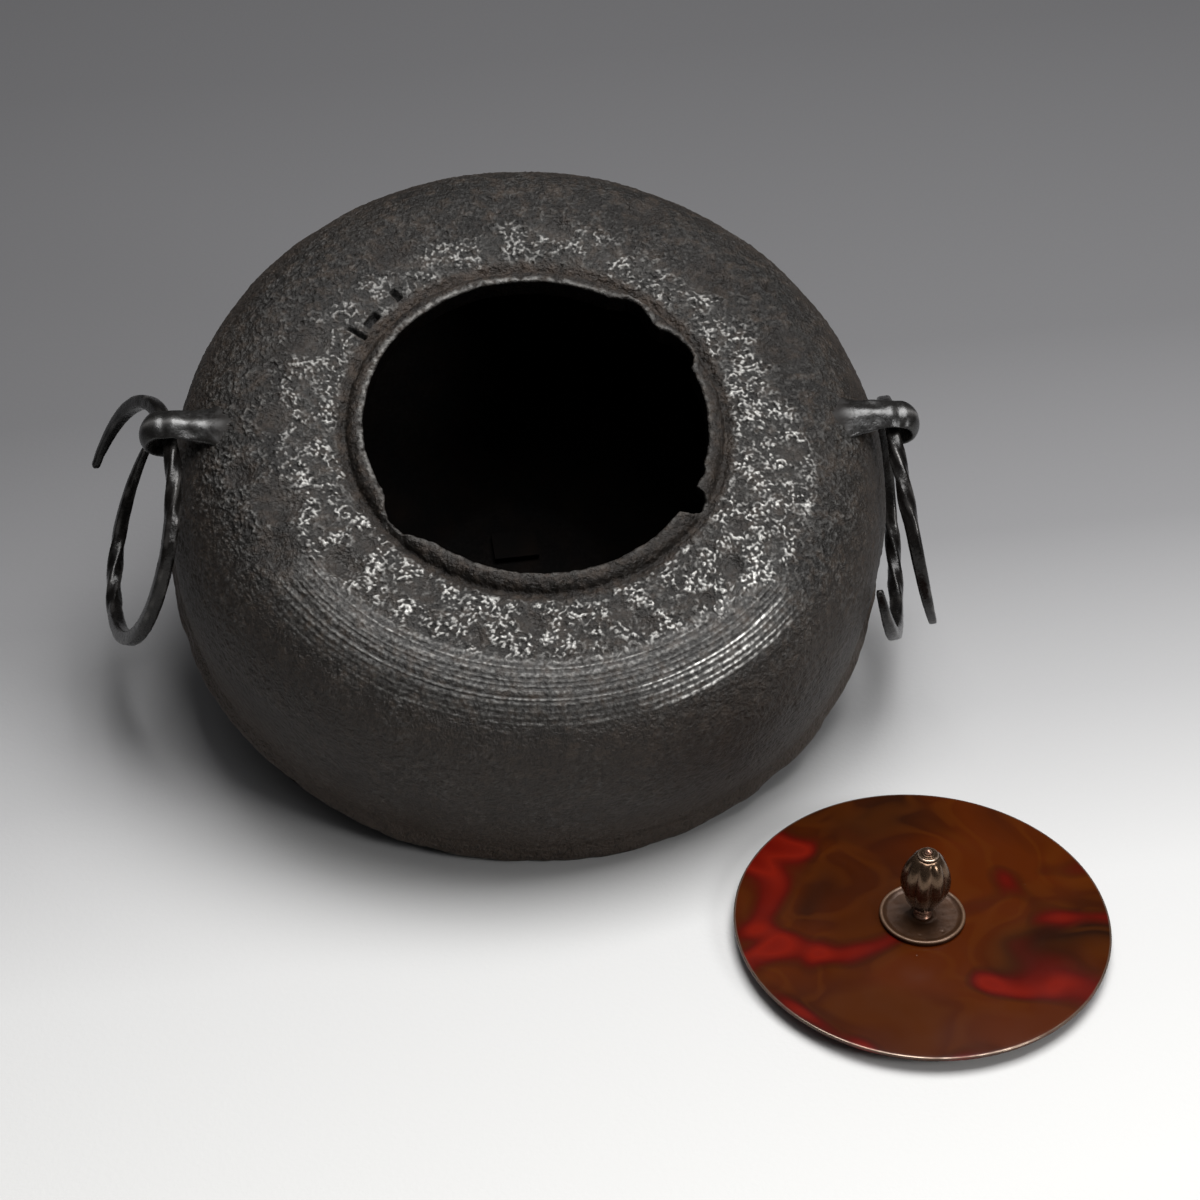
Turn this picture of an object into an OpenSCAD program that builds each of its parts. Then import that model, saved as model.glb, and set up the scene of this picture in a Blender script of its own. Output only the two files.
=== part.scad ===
// Tea kettle of cast iron with loose lifting rings, its bronze lid laid down beside it.
// Millimetres, +Z up, floor at z = 0, origin under the middle of the whole group.
// The round bottom cannot stand level on a flat floor: the kettle leans towards -Y and
// rests on the front of its small foot and the front of its skirt edge.

/* [Kettle body] */
// Radius of the broken flange edge round the skirt
skirt_r = 130.5; // [115:0.5:145]
// Stub of the broken flange, standing out from the wall
flange_stub = 2.5; // [1:0.1:4]
// Height of the widest wall above the skirt edge
wall_h = 25; // [18:0.5:35]
// Breadth of the shoulder curve, from the skirt edge in to where it turns level
shoulder_w = 40.5; // [34:0.5:48]
// Height of the shoulder above the skirt edge
shoulder_h = 78; // [65:0.5:95]
// Fullness of the shoulder curve, 2 is a plain ellipse
shoulder_fullness = 2.5; // [2:0.1:3.5]
// Thickness of the casting
wall = 4.5; // [3:0.1:7]

/* [Mouth] */
// Radius of the mouth
mouth_r = 59.5; // [50:0.5:68]
// Width of the raised lip round the mouth
lip_w = 4.6; // [3:0.1:7]
// Height of the lip over the gutter outside it
lip_h = 4.4; // [2:0.1:7]
// Height of the lip over the shoulder
lip_rise = 1.6; // [0:0.1:5]
// Chips broken out of the lip: azimuth, farthest radius reached past the mouth, radius of the break
lip_chips = [[322, 5.0, 6.0], [213, 3.6, 20], [44, 4.6, 10], [23, 5.2, 9], [334, 2.2, 5]];

/* [Bottom] */
// Radius of the small flat foot
foot_r = 20; // [12:0.5:24]
// Height of the skirt edge above the foot
skirt_h = 48.2; // [44:0.1:56]
// Height of the bottom's seat above the skirt edge
seat_h = 18; // [15:0.5:20]
// Depth of the bottom's upright rim
rim_d = 6; // [4:0.5:8]
// Gap between the rim and the skirt round it
rim_gap = 0.3; // [0.1:0.05:0.5]
// Height of the level floor inside, above the foot
floor_h = 12; // [9:0.5:14]
// Height of the lacquer fillet that seals the seam
seam_d = 4; // [2:0.5:5]

/* [Sounding irons] */
// Length of each plate
iron_l = 17; // [12:0.5:20]
// Width of each plate
iron_w = 11; // [8:0.5:14]
// Thickness of each plate
iron_t = 2.2; // [1.5:0.1:3]
// Distance of each plate from the kettle's axis
iron_r = 17; // [15:0.5:20]
// Thickness of the lacquer bed under each plate
bed_t = 0.8; // [0.5:0.1:1.5]

/* [Lugs] */
// Turn of the left lug from the line square to the lean
left_turn = -7.9; // [-15:0.1:15]
// Turn of the right lug from that line
right_turn = -3.5; // [-15:0.1:15]
// Distance of each eye in from the skirt edge's radius
eye_in = 4; // [2:0.1:6]
// Height of each eye above the skirt edge
eye_h = 67.2; // [62:0.1:70]
// Radius of the eye at its narrowest
eye_r = 4.8; // [4.6:0.1:6]
// Thickness of the strap at its ridge
strap_t = 4.6; // [4:0.1:6]
// Width of the strap round the eye
strap_w = 13; // [10:0.5:15]
// Widening of the strap towards its root
strap_flare = 1.55; // [1.2:0.05:1.8]
// Length of the strap from the eye in to its root in the wall
root_l = 25; // [22:0.5:28]
// Angle from the outermost point of the curl down to its tip
curl_end = 95; // [80:1:98]

/* [Rings] */
// Mean radius of each ring
ring_r = 41.8; // [36:0.1:45]
// Width of the square bar
bar_w = 5; // [4:0.1:5.4]
// Width of the bar at its tips
tip_w = 2.8; // [2:0.1:4]
// Turn of the bar's own twist in each twisted stretch
bar_twist = 180; // [0:90:360]
// Sideways spread of the bar over one full turn of the ring
ring_splay = 15.5; // [12:0.5:22]
// Angles from the left ring's top to its two tips
left_tip_angles = [-99, 278]; // [-300:1:300]
// Angles from the right ring's top to its two tips
right_tip_angles = [-270, 122]; // [-300:1:300]
// Angle from the left ring's top to the point that its eye holds
left_hold_angle = 10.6; // [0:0.1:30]
// Angle from the right ring's top to the point that its eye holds
right_hold_angle = 2.6; // [0:0.1:30]
// Places of the two twisted stretches of the left ring
left_twist_angles = [32, 206]; // [-300:1:300]
// Places of the two twisted stretches of the right ring
right_twist_angles = [-150, 36]; // [-300:1:300]
// Lean of the hanging left ring away from the wall
left_hang_angle = 22.9; // [15:0.1:40]
// Lean of the hanging right ring away from the wall
right_hang_angle = 10.5; // [8:0.1:40]
// Turn of the left ring towards the kettle at the front
left_yaw = 6.6; // [-20:0.1:20]
// Turn of the right ring towards the kettle at the front
right_yaw = 10.9; // [-20:0.1:20]

/* [Lid] */
// Position of the lid's middle from the kettle's foot
lid_at = [106.6, -193.8]; // [-250:0.1:250]
// Overlap of the lid's rim past the mouth
lid_overlap = 3.7; // [1.5:0.1:6]
// Thickness of the lid at its rim
lid_t = 1.3; // [1:0.1:3]
// Rise of the lid from its rim to its middle
lid_dome = 1.4; // [0.5:0.1:4]
// Gap between the mouth and the flange under the lid
mouth_gap = 1.0; // [0.5:0.1:2]
// Height of the flange under the lid
flange_h = 5; // [4:0.5:10]
// Thickness of the flange
flange_t = 2.2; // [1.5:0.1:4]

/* [Knob] */
// Radius of the rivet through the knob
pin_r = 1.3; // [1:0.1:2]
// Gap round the rivet
pin_gap = 0.05; // [0.02:0.01:0.15]
// Radius of the dished seat under the knob
knob_seat_r = 14.4; // [11:0.1:18]
// Thickness of the seat
knob_seat_t = 1.2; // [0.8:0.1:2]
// Height of the neck
neck_h = 3.6; // [3:0.1:7]
// Radius of the neck
neck_r = 2.5; // [2.2:0.1:3.5]
// Height of the fluted bud
bud_h = 22.5; // [16:0.1:28]
// Radius of the bud at its fullest
bud_r = 8.4; // [7:0.1:11]
// Radius of the bud's lower end
bud_low_r = 2.8; // [2.4:0.1:4]
// Radius of the bud's upper end
bud_top_r = 3.6; // [2.8:0.1:4.5]
// Number of flutes
flutes = 8; // [6:1:10]
// Depth of each flute
flute_d = 1.25; // [0.6:0.05:1.6]
// Radius of the cap
cap_r = 3.5; // [2.6:0.1:4.5]
// Height of the cap's broad step
cap_h = 1.1; // [0.6:0.1:2]
// Height of the boss on the cap
boss_h = 0.6; // [0.4:0.1:1.5]
// Radius of the washer under the lid
under_washer_r = 9; // [6:0.5:14]
// Thickness of that washer
under_washer_t = 1; // [0.6:0.1:2]

/* [Group] */
// Position of the kettle's foot from the middle of the group
kettle_at = [-7.36, 78.33]; // [-150:0.01:150]

/* [Hidden] */
$fn = 96;

// Lean at which the foot and the skirt edge both touch the floor
lean = atan(skirt_h / (skirt_r - foot_r));
lift = foot_r * sin(lean);

// Heights above the foot
seat_z = skirt_h + seat_h;
rim_z = seat_z - rim_d;
wall_z = skirt_h + wall_h;
shoulder_z = skirt_h + shoulder_h;
lip_z = shoulder_z + lip_rise;
gutter_z = lip_z - lip_h;
eye_z = skirt_h + eye_h;

// Radii of the casting
wall_r = skirt_r - flange_stub;
shoulder_r = skirt_r - shoulder_w;
eye_out = skirt_r - eye_in;
root_r = eye_out - root_l;

// Inside sizes of the casting
inner_r = wall_r - wall;
ledge_r = inner_r - wall;
skirt_in_r = inner_r + 0.5;
rim_r = skirt_in_r - rim_gap;
rim_in_r = rim_r - wall;

// The bottom's outside climbs from the foot to the rim on a rising curve
bowl_start = tan(lean + 3.5);
bowl_bend = (rim_z - bowl_start * (rim_r - foot_r)) / pow(rim_r - foot_r, 2);
function bowl_z(r) = bowl_start * (r - foot_r) + bowl_bend * pow(r - foot_r, 2);
bowl_rise = wall / cos(lean + 6);
bowl_steps = 16;

// Points of the shoulder's curve, from the wall up to the level shoulder
shoulder_steps = 26;
function shoulder_curve(r0, z0, r1, z1) = [for (i = [0:shoulder_steps])
    let (a = 90 * i / shoulder_steps, p = 2 / shoulder_fullness)
    [r1 + (r0 - r1) * pow(cos(a), p), z0 + (z1 - z0) * pow(sin(a), p)]];

// Outside of the casting from the skirt edge to the shoulder
function outer_wall() = concat(
    [[skirt_r, skirt_h], [skirt_r, skirt_h + 2.2], [skirt_r - 1, skirt_h + 4],
     [wall_r - 0.3, skirt_h + 7], [wall_r - 0.2, skirt_h + 14]],
    shoulder_curve(wall_r, wall_z, shoulder_r, shoulder_z));

// Gutter and lip, from the shoulder in to the mouth
lip_out_r = mouth_r + lip_w;
gutter_r = lip_out_r + 2.6;
function mouth_outline() = [[gutter_r + 5, shoulder_z - 0.7], [gutter_r, gutter_z + 0.4],
    [lip_out_r + 1, gutter_z], [lip_out_r, gutter_z + 0.9], [lip_out_r - 0.7, lip_z - 0.9],
    [lip_out_r - 1.7, lip_z], [mouth_r + 1, lip_z], [mouth_r + 0.2, lip_z - 0.4],
    [mouth_r, lip_z - 1.2]];

// Inside of the casting, from the mouth back down to the seat
mouth_low_z = gutter_z - wall;
function inner_wall() = let (c = shoulder_curve(inner_r, wall_z, shoulder_r, shoulder_z - wall))
    concat([[mouth_r, mouth_low_z + 0.6], [mouth_r + 0.6, mouth_low_z], [gutter_r, mouth_low_z]],
    [for (i = [shoulder_steps:-1:0]) c[i]], [[ledge_r, seat_z + 0.6], [ledge_r, seat_z]]);

// Kettle at its lean
module kettle_pose() {
    translate([kettle_at[0], kettle_at[1], lift]) rotate([lean, 0, 0]) children();
}

// One break in the lip, cut down to the gutter
module lip_chip(azimuth, reach, break_r) {
    rotate(azimuth) translate([mouth_r + reach - break_r, 0, gutter_z + 0.3])
        cylinder(r = break_r, h = lip_h + 5, $fn = 48);
}

// A lug's own frame: +X outwards through the eye, +Z up
function lug_azimuth(side) = side < 0 ? 180 + left_turn : right_turn;
module lug_pose(side) {
    rotate(lug_azimuth(side)) children();
}

// Section of the curl round the eye: rounded towards the eye, ridged like a roof outside
curl_round = 7;
curl_drop = 1.5;
roof_drop = 1.9;
ridge = eye_r + strap_t;
module curl_section() {
    half = strap_w / 2;
    intersection() {
        translate([eye_r + curl_round, 0]) circle(curl_round);
        polygon([[eye_r - 1, -half], [ridge - curl_drop, -half], [ridge - 0.5, -0.9], [ridge, 0],
            [ridge - 0.5, 0.9], [ridge - curl_drop, half], [eye_r - 1, half]]);
    }
}

// Roof-shaped strap, its root cast into the wall and its outer end inside the curl
strap_in = 2.5;
strap_lift = 1.4;
strap_l = eye_out - root_r + strap_in;
module strap(gap) {
    top = ridge - 0.6 + gap;
    low = eye_r + strap_lift - gap;
    tip = strap_w / 2 - 1.2 + gap;
    root = tip * strap_flare;
    translate([eye_out + strap_in, 0, eye_z]) intersection() {
        rotate([0, -90, 0]) linear_extrude(strap_l + gap)
            polygon([[low, -root], [top - roof_drop, -root], [top, -0.9], [top, 0.9],
                [top - roof_drop, root], [low, root]]);
        linear_extrude(2 * ridge)
            polygon([[0, -tip], [0, tip], [-strap_l - gap, root], [-strap_l - gap, -root]]);
    }
}

cast_gap = 0.05;
module kettle_body() {
    color([0.16, 0.15, 0.14]) kettle_pose() difference() {
        rotate_extrude($fn = 180) polygon(concat(outer_wall(), mouth_outline(), inner_wall(),
            [[skirt_in_r, seat_z], [skirt_in_r, skirt_h + 1.5], [skirt_in_r + 1, skirt_h]]));
        for (c = lip_chips) lip_chip(c[0], c[1], c[2]);
        for (side = [-1, 1]) lug_pose(side) strap(cast_gap);
    }
}

// Flat floor inside the bottom ends where the sloping inside meets it
floor_r = foot_r + (floor_h - bowl_rise) / (bowl_start + 0.02);
module kettle_bottom() {
    bowl_out = [for (i = [0:bowl_steps]) let (r = foot_r + (rim_r - foot_r) * i / bowl_steps)
        [r, bowl_z(r)]];
    bowl_in = [for (i = [bowl_steps:-1:0]) let (r = floor_r + (rim_in_r - floor_r) * i / bowl_steps)
        [r, max(floor_h, bowl_z(r) + bowl_rise)]];
    color([0.13, 0.12, 0.12]) kettle_pose() rotate_extrude($fn = 180)
        polygon(concat([[0, 0]], bowl_out, [[rim_r, seat_z], [rim_in_r, seat_z]], bowl_in,
            [[0, floor_h]]));
}

// Lacquer in the corner between the skirt and the bottom
module seam_lacquer() {
    low_z = rim_z - seam_d;
    last_r = foot_r + (rim_r - foot_r) * (bowl_steps - 1) / bowl_steps;
    slope = (rim_z - bowl_z(last_r)) / (rim_r - last_r);
    color([0.09, 0.05, 0.04]) kettle_pose() rotate_extrude($fn = 180)
        polygon([[skirt_in_r, rim_z], [rim_r, rim_z], [rim_r - seam_d / slope, low_z],
            [skirt_in_r, low_z]]);
}

// Lug: the strap comes out of the wall and curls down round the eye until it nears the wall again
module lug(side) {
    color([0.2, 0.19, 0.18]) kettle_pose() lug_pose(side) {
        translate([eye_out, 0, eye_z]) rotate([90, 0, 0]) rotate(-curl_end)
            rotate_extrude(angle = 90 + curl_end) curl_section();
        strap(0);
    }
}
module left_lug() { lug(-1); }
module right_lug() { lug(1); }

// Plates lacquered to the floor inside, which make the kettle sing
module iron_pose(i) {
    kettle_pose() rotate(90 + i * 120) translate([iron_r, 0, floor_h]) children();
}
module lacquer_bed(i) {
    color([0.09, 0.05, 0.04]) iron_pose(i)
        translate([-iron_w / 2 + 1, -iron_l / 2 + 1, 0]) cube([iron_w - 2, iron_l - 2, bed_t]);
}
module sounding_iron(i) {
    color([0.2, 0.17, 0.15]) iron_pose(i)
        translate([-iron_w / 2, -iron_l / 2, bed_t]) cube([iron_w, iron_l, iron_t]);
}
module lacquer_bed_1() { lacquer_bed(0); }
module lacquer_bed_2() { lacquer_bed(1); }
module lacquer_bed_3() { lacquer_bed(2); }
module sounding_iron_1() { sounding_iron(0); }
module sounding_iron_2() { sounding_iron(1); }
module sounding_iron_3() { sounding_iron(2); }

// A point of the leaning kettle, in the group's frame
function posed(p) = [p[0] + kettle_at[0],
    p[1] * cos(lean) - p[2] * sin(lean) + kettle_at[1],
    p[1] * sin(lean) + p[2] * cos(lean) + lift];

// Middle of the bar where it passes through its eye
bar_drop = 0.3;
function eye_point(side) = let (a = lug_azimuth(side))
    posed([eye_out * cos(a), eye_out * sin(a), eye_z - bar_drop]);

// Directions of a hanging ring: along the bar at the eye, up through the eye, and outwards
function ring_along(side, yaw) = [-side * sin(yaw), -cos(yaw), 0];
function ring_flat(side, yaw) = [side * cos(yaw), -sin(yaw), 0];
function ring_up(side, yaw, hang) = [0, 0, cos(hang)] - sin(hang) * ring_flat(side, yaw);
function ring_axis(side, yaw, hang) = cos(hang) * ring_flat(side, yaw) + [0, 0, sin(hang)];

// Bar size along the arc: full in the middle, drawn out to thin tips
taper_angle = 62;
function bar_half(arc, t) = let (d = min(t - arc[0], arc[1] - t) / taper_angle)
    (d < 1 ? tip_w + (bar_w - tip_w) * sin(90 * d) : bar_w) / 2;

// Twist along the arc: the bar turns over in each twisted stretch
twist_half_angle = 22;
function twist_step(x) = let (c = max(-1, min(1, x / twist_half_angle))) bar_twist * (c + 1) / 2;
function bar_turn(twists, t) = twist_step(t - twists[0]) + twist_step(t - twists[1]);

// Corners of the square bar with its edges taken off
edge_off = 0.6;
bar_corners = [[1, -edge_off], [1, edge_off], [edge_off, 1], [-edge_off, 1],
    [-1, edge_off], [-1, -edge_off], [-edge_off, -1], [edge_off, -1]];

// Hand-forged open ring: the bar's section carried round the arc and spread sideways
step_angle = 3;
module ring(side, arc, hold, twists, yaw, hang, splay) {
    along = ring_along(side, yaw);
    up = ring_up(side, yaw, hang);
    axis = ring_axis(side, yaw, hang);
    start = eye_point(side);
    held = sin(hold) * along + cos(hold) * up;
    steps = round((arc[1] - arc[0]) / step_angle);
    n = len(bar_corners);
    points = [for (i = [0:steps])
        let (t = arc[0] + (arc[1] - arc[0]) * i / steps,
            out = sin(t) * along + cos(t) * up,
            middle = start + ring_r * (out - held) + splay * (t - hold) / 360 * axis,
            h = bar_half(arc, t), q = bar_turn(twists, t))
        for (c = bar_corners)
            middle + h * ((c[0] * cos(q) - c[1] * sin(q)) * out + (c[0] * sin(q) + c[1] * cos(q)) * axis)];
    sides = [for (i = [0:steps - 1]) for (k = [0:n - 1])
        let (a = i * n + k, b = i * n + (k + 1) % n)
        for (f = side < 0 ? [[b, a, a + n], [b, a + n, b + n]] : [[a, b, a + n], [b, b + n, a + n]]) f];
    first = [for (k = [0:n - 1]) side < 0 ? k : n - 1 - k];
    last = [for (k = [0:n - 1]) steps * n + (side < 0 ? n - 1 - k : k)];
    color([0.17, 0.16, 0.15]) polyhedron(points = points, faces = concat([first], sides, [last]));
}
module left_ring() {
    ring(-1, left_tip_angles, left_hold_angle, left_twist_angles, left_yaw, left_hang_angle, -ring_splay);
}
module right_ring() {
    ring(1, right_tip_angles, right_hold_angle, right_twist_angles, right_yaw, right_hang_angle, ring_splay);
}

// Lid on the floor, standing on its flange
module lid_pose() {
    translate([kettle_at[0] + lid_at[0], kettle_at[1] + lid_at[1], 0]) children();
}

// Sizes in the lid and its knob
lid_r = mouth_r + lid_overlap;
bore_r = pin_r + pin_gap;
rim_top_z = flange_h + lid_t;
lid_top_z = rim_top_z + lid_dome;
seat_top_z = lid_top_z + knob_seat_t;
bud_z = seat_top_z + neck_h;
cap_z = bud_z + bud_h;
cap_top_z = cap_z + cap_h + boss_h;

// Lid plate, its top a low dome
dome_steps = 10;
module lid_plate() {
    dome = [for (i = [0:dome_steps]) let (r = lid_r + (bore_r - lid_r) * i / dome_steps)
        [r, rim_top_z + lid_dome * (1 - pow(r / lid_r, 2))]];
    color([0.42, 0.13, 0.07]) lid_pose() rotate_extrude($fn = 180)
        polygon(concat([[bore_r, flange_h], [lid_r - 0.5, flange_h], [lid_r, flange_h + 0.5]], dome));
}

// Ring under the lid that keeps it in the mouth
module lid_flange() {
    flange_r = mouth_r - mouth_gap;
    color([0.3, 0.12, 0.07]) lid_pose() rotate_extrude($fn = 180)
        polygon([[flange_r - flange_t, 0], [flange_r - 0.5, 0], [flange_r, 0.5],
            [flange_r, flange_h], [flange_r - flange_t, flange_h]]);
}

// Dished washer with a raised rim
module knob_seat() {
    color([0.33, 0.2, 0.15]) lid_pose() translate([0, 0, lid_top_z]) rotate_extrude()
        polygon([[bore_r, 0], [knob_seat_r - 0.6, 0], [knob_seat_r, 0.5],
            [knob_seat_r, knob_seat_t + 0.2], [knob_seat_r - 0.5, knob_seat_t + 0.6],
            [knob_seat_r - 1.2, knob_seat_t + 0.4], [knob_seat_r - 2.2, knob_seat_t - 0.3],
            [neck_r + 2.2, knob_seat_t - 0.3], [neck_r + 1.4, knob_seat_t], [bore_r, knob_seat_t]]);
}

// Waisted neck with a bead under the bud
module knob_neck() {
    color([0.4, 0.2, 0.13]) lid_pose() translate([0, 0, seat_top_z]) rotate_extrude()
        polygon([[bore_r, 0], [neck_r + 0.6, 0], [neck_r + 0.5, 0.4], [neck_r + 0.1, 0.7],
            [neck_r - 0.2, neck_h * 0.4], [neck_r, neck_h - 1.7], [neck_r + 0.5, neck_h - 1.3],
            [neck_r + 0.6, neck_h - 0.7], [neck_r + 0.2, neck_h], [bore_r, neck_h]]);
}

// Bud: swells from its two ends, fullest above the middle, fluted like a melon
bud_sag = bud_r - (bud_low_r + bud_top_r) / 2;
bud_skew = 1.3;
bud_rows = 18;
flute_points = 8;
function bud_radius(z) = let (u = z / bud_h)
    bud_low_r + (bud_top_r - bud_low_r) * u + bud_sag * pow(max(0, sin(180 * pow(u, bud_skew))), 0.85);
function flute_depth(z, a) = let (fade = pow(max(0, sin(180 * z / bud_h)), 0.7))
    flute_d * fade * (1 - abs(sin(flutes * a / 2)));
module knob_bud() {
    n = flutes * flute_points;
    hole_r = bore_r / cos(180 / n);
    outer = [for (i = [0:bud_rows]) for (k = [0:n - 1])
        let (z = bud_h * i / bud_rows, a = 360 * k / n, r = bud_radius(z) - flute_depth(z, a))
        [r * cos(a), r * sin(a), z]];
    inner = [for (z = [bud_h, 0]) for (k = [0:n - 1])
        [hole_r * cos(360 * k / n), hole_r * sin(360 * k / n), z]];
    rows = bud_rows + 3;
    faces = [for (i = [0:rows - 1]) for (k = [0:n - 1])
        let (j = (i + 1) % rows, m = (k + 1) % n)
        for (f = [[i * n + k, j * n + k, j * n + m], [i * n + k, j * n + m, i * n + m]]) f];
    color([0.3, 0.18, 0.14]) lid_pose() translate([0, 0, bud_z])
        polyhedron(points = concat(outer, inner), faces = faces);
}

// Stepped cap over the bud
module knob_cap() {
    color([0.36, 0.22, 0.16]) lid_pose() translate([0, 0, cap_z]) difference() {
        union() {
            cylinder(r = cap_r, h = cap_h);
            cylinder(r = pin_r + 0.9, h = cap_h + boss_h);
        }
        translate([0, 0, -1]) cylinder(r = bore_r, h = cap_h + boss_h + 2);
    }
}

// Rivet through the whole knob and the lid, its head under the washer, its end domed over the cap
module knob_pin() {
    head_r = pin_r + 1.9;
    head_h = 1.4;
    low_z = flange_h - under_washer_t - head_h;
    color([0.55, 0.4, 0.3]) lid_pose() {
        translate([0, 0, low_z]) cylinder(r = head_r, h = head_h);
        translate([0, 0, low_z]) cylinder(r = pin_r, h = cap_top_z - low_z);
        translate([0, 0, cap_top_z]) intersection() {
            cylinder(r = pin_r, h = pin_r);
            sphere(pin_r);
        }
    }
}

module under_washer() {
    color([0.33, 0.2, 0.15]) lid_pose() translate([0, 0, flange_h - under_washer_t]) difference() {
        cylinder(r = under_washer_r, h = under_washer_t);
        translate([0, 0, -1]) cylinder(r = bore_r, h = under_washer_t + 2);
    }
}

kettle_body();
kettle_bottom();
seam_lacquer();
left_lug();
right_lug();
lacquer_bed_1();
lacquer_bed_2();
lacquer_bed_3();
sounding_iron_1();
sounding_iron_2();
sounding_iron_3();
left_ring();
right_ring();
lid_plate();
lid_flange();
knob_seat();
knob_neck();
knob_bud();
knob_cap();
knob_pin();
under_washer();
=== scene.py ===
"""Tea kettle of cast iron with loose lifting rings, its bronze lid laid beside it.

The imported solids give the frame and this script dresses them. Sizes are in millimetres, as in
the solids' own source, and meshes are made in metres. The floor, lights and camera are in metres.
"""
import math

import bmesh
import bpy
import numpy as np
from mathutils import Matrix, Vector


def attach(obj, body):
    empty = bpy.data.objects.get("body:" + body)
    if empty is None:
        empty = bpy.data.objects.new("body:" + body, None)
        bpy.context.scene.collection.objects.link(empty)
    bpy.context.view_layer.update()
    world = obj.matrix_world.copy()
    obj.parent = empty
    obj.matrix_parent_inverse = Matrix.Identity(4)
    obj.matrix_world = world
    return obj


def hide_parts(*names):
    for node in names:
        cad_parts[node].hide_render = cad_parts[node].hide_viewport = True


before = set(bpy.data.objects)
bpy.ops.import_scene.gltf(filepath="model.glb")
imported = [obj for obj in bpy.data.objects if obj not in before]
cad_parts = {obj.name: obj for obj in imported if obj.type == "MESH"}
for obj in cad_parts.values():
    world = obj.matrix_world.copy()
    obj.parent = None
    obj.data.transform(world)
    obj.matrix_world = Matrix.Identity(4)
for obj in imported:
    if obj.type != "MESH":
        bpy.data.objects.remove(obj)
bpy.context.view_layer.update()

MM = 0.001

# Sizes shared with the solids: the casting
KETTLE_AT = (-7.36, 78.33)
SKIRT_R, SKIRT_H, FOOT_R = 130.5, 48.2, 20.0
FLANGE_STUB, WALL = 2.5, 4.5
WALL_R, WALL_Z = SKIRT_R - FLANGE_STUB, SKIRT_H + 25.0
SHOULDER_R, SHOULDER_Z, FULLNESS = SKIRT_R - 40.5, SKIRT_H + 78.0, 2.5
MOUTH_R, LIP_W, LIP_H = 59.5, 4.6, 4.4
LIP_Z = SHOULDER_Z + 1.6
GUTTER_Z = LIP_Z - LIP_H
LIP_OUT_R = MOUTH_R + LIP_W
GUTTER_R = LIP_OUT_R + 2.6
MOUTH_LOW_Z = GUTTER_Z - WALL
SEAT_Z = SKIRT_H + 18.0
RIM_Z = SEAT_Z - 6.0
FLOOR_H = 12.0
INNER_R = WALL_R - WALL
LEDGE_R = INNER_R - WALL
SKIRT_IN_R = INNER_R + 0.5
RIM_R = SKIRT_IN_R - 0.3
# Angles past the lean: the slope at which the bowl starts, and the slope its wall is measured at
BOWL_START, BOWL_SLOPE = 3.5, 6.0
# Breaks in the lip, some of them softer than in the solids: azimuth, reach past the mouth, radius
LIP_CHIPS = [(322, 5.0, 6.0), (213, 3.6, 20.0), (47, 3.0, 13.0), (25, 3.4, 13.0), (334, 0.9, 5.0)]

# Sizes shared with the solids: the lugs and rings
LUG_AZIMUTH = {-1: 180 - 7.9, 1: -3.5}
EYE_OUT, EYE_Z, EYE_R = SKIRT_R - 4.0, SKIRT_H + 67.2, 4.8
STRAP_T, STRAP_LIFT, ROOT_L = 4.6, 1.4, 25.0
CURL_END, ROOF_DROP = 95.0, 1.9
RING_R, BAR_W, TIP_W, BAR_TWIST, RING_SPLAY = 41.8, 5.0, 2.8, 180.0, 15.5
TAPER_ANGLE, TWIST_HALF_ANGLE, BAR_DROP = 62.0, 22.0, 0.3

# Sizes shared with the solids: the lid and knob
LID_AT = (KETTLE_AT[0] + 106.6, KETTLE_AT[1] - 193.8)
LID_R, LID_T, LID_DOME, FLANGE_H = MOUTH_R + 3.7, 1.3, 1.4, 5.0
BORE_R = 1.35
RIM_TOP_Z = FLANGE_H + LID_T
LID_TOP_Z = RIM_TOP_Z + LID_DOME
KNOB_SEAT_R, KNOB_SEAT_T, NECK_H, NECK_R = 14.4, 1.2, 3.6, 2.5
SEAT_TOP_Z = LID_TOP_Z + KNOB_SEAT_T
BUD_Z = SEAT_TOP_Z + NECK_H
BUD_H, BUD_R, BUD_LOW_R, BUD_TOP_R = 22.5, 8.4, 2.8, 3.6
FLUTES, FLUTE_D = 8, 1.25
CAP_Z = BUD_Z + BUD_H
CAP_R, CAP_H, BOSS_R, BOSS_H = 3.5, 1.1, 2.2, 0.6

LEAN = math.atan2(SKIRT_H, SKIRT_R - FOOT_R)
LIFT = FOOT_R * math.sin(LEAN)


def posed(p):
    """Points of the upright kettle, foot at the origin, carried to the leaning kettle."""
    x, y, z = p[..., 0], p[..., 1], p[..., 2]
    c, s = math.cos(LEAN), math.sin(LEAN)
    return np.stack([x + KETTLE_AT[0], y * c - z * s + KETTLE_AT[1], y * s + z * c + LIFT], -1)


# Noise that repeats on each run

NOISE_GAIN = 1.8
CREST_FALL = 2.6


def lattice(cell, seed):
    """A whole number of 16 bits for each lattice point."""
    h = cell[..., 0] * 73856093 ^ cell[..., 1] * 19349663 ^ cell[..., 2] * 83492791 ^ seed * 62089911
    h = (h & 0xFFFFFFFF).astype(np.uint64)
    h = ((h ^ (h >> np.uint64(15))) * np.uint64(2246822519)) & np.uint64(0xFFFFFFFF)
    h = ((h ^ (h >> np.uint64(13))) * np.uint64(3266489917)) & np.uint64(0xFFFFFFFF)
    return ((h ^ (h >> np.uint64(16))) & np.uint64(0xFFFF)).astype(np.int64)


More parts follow.
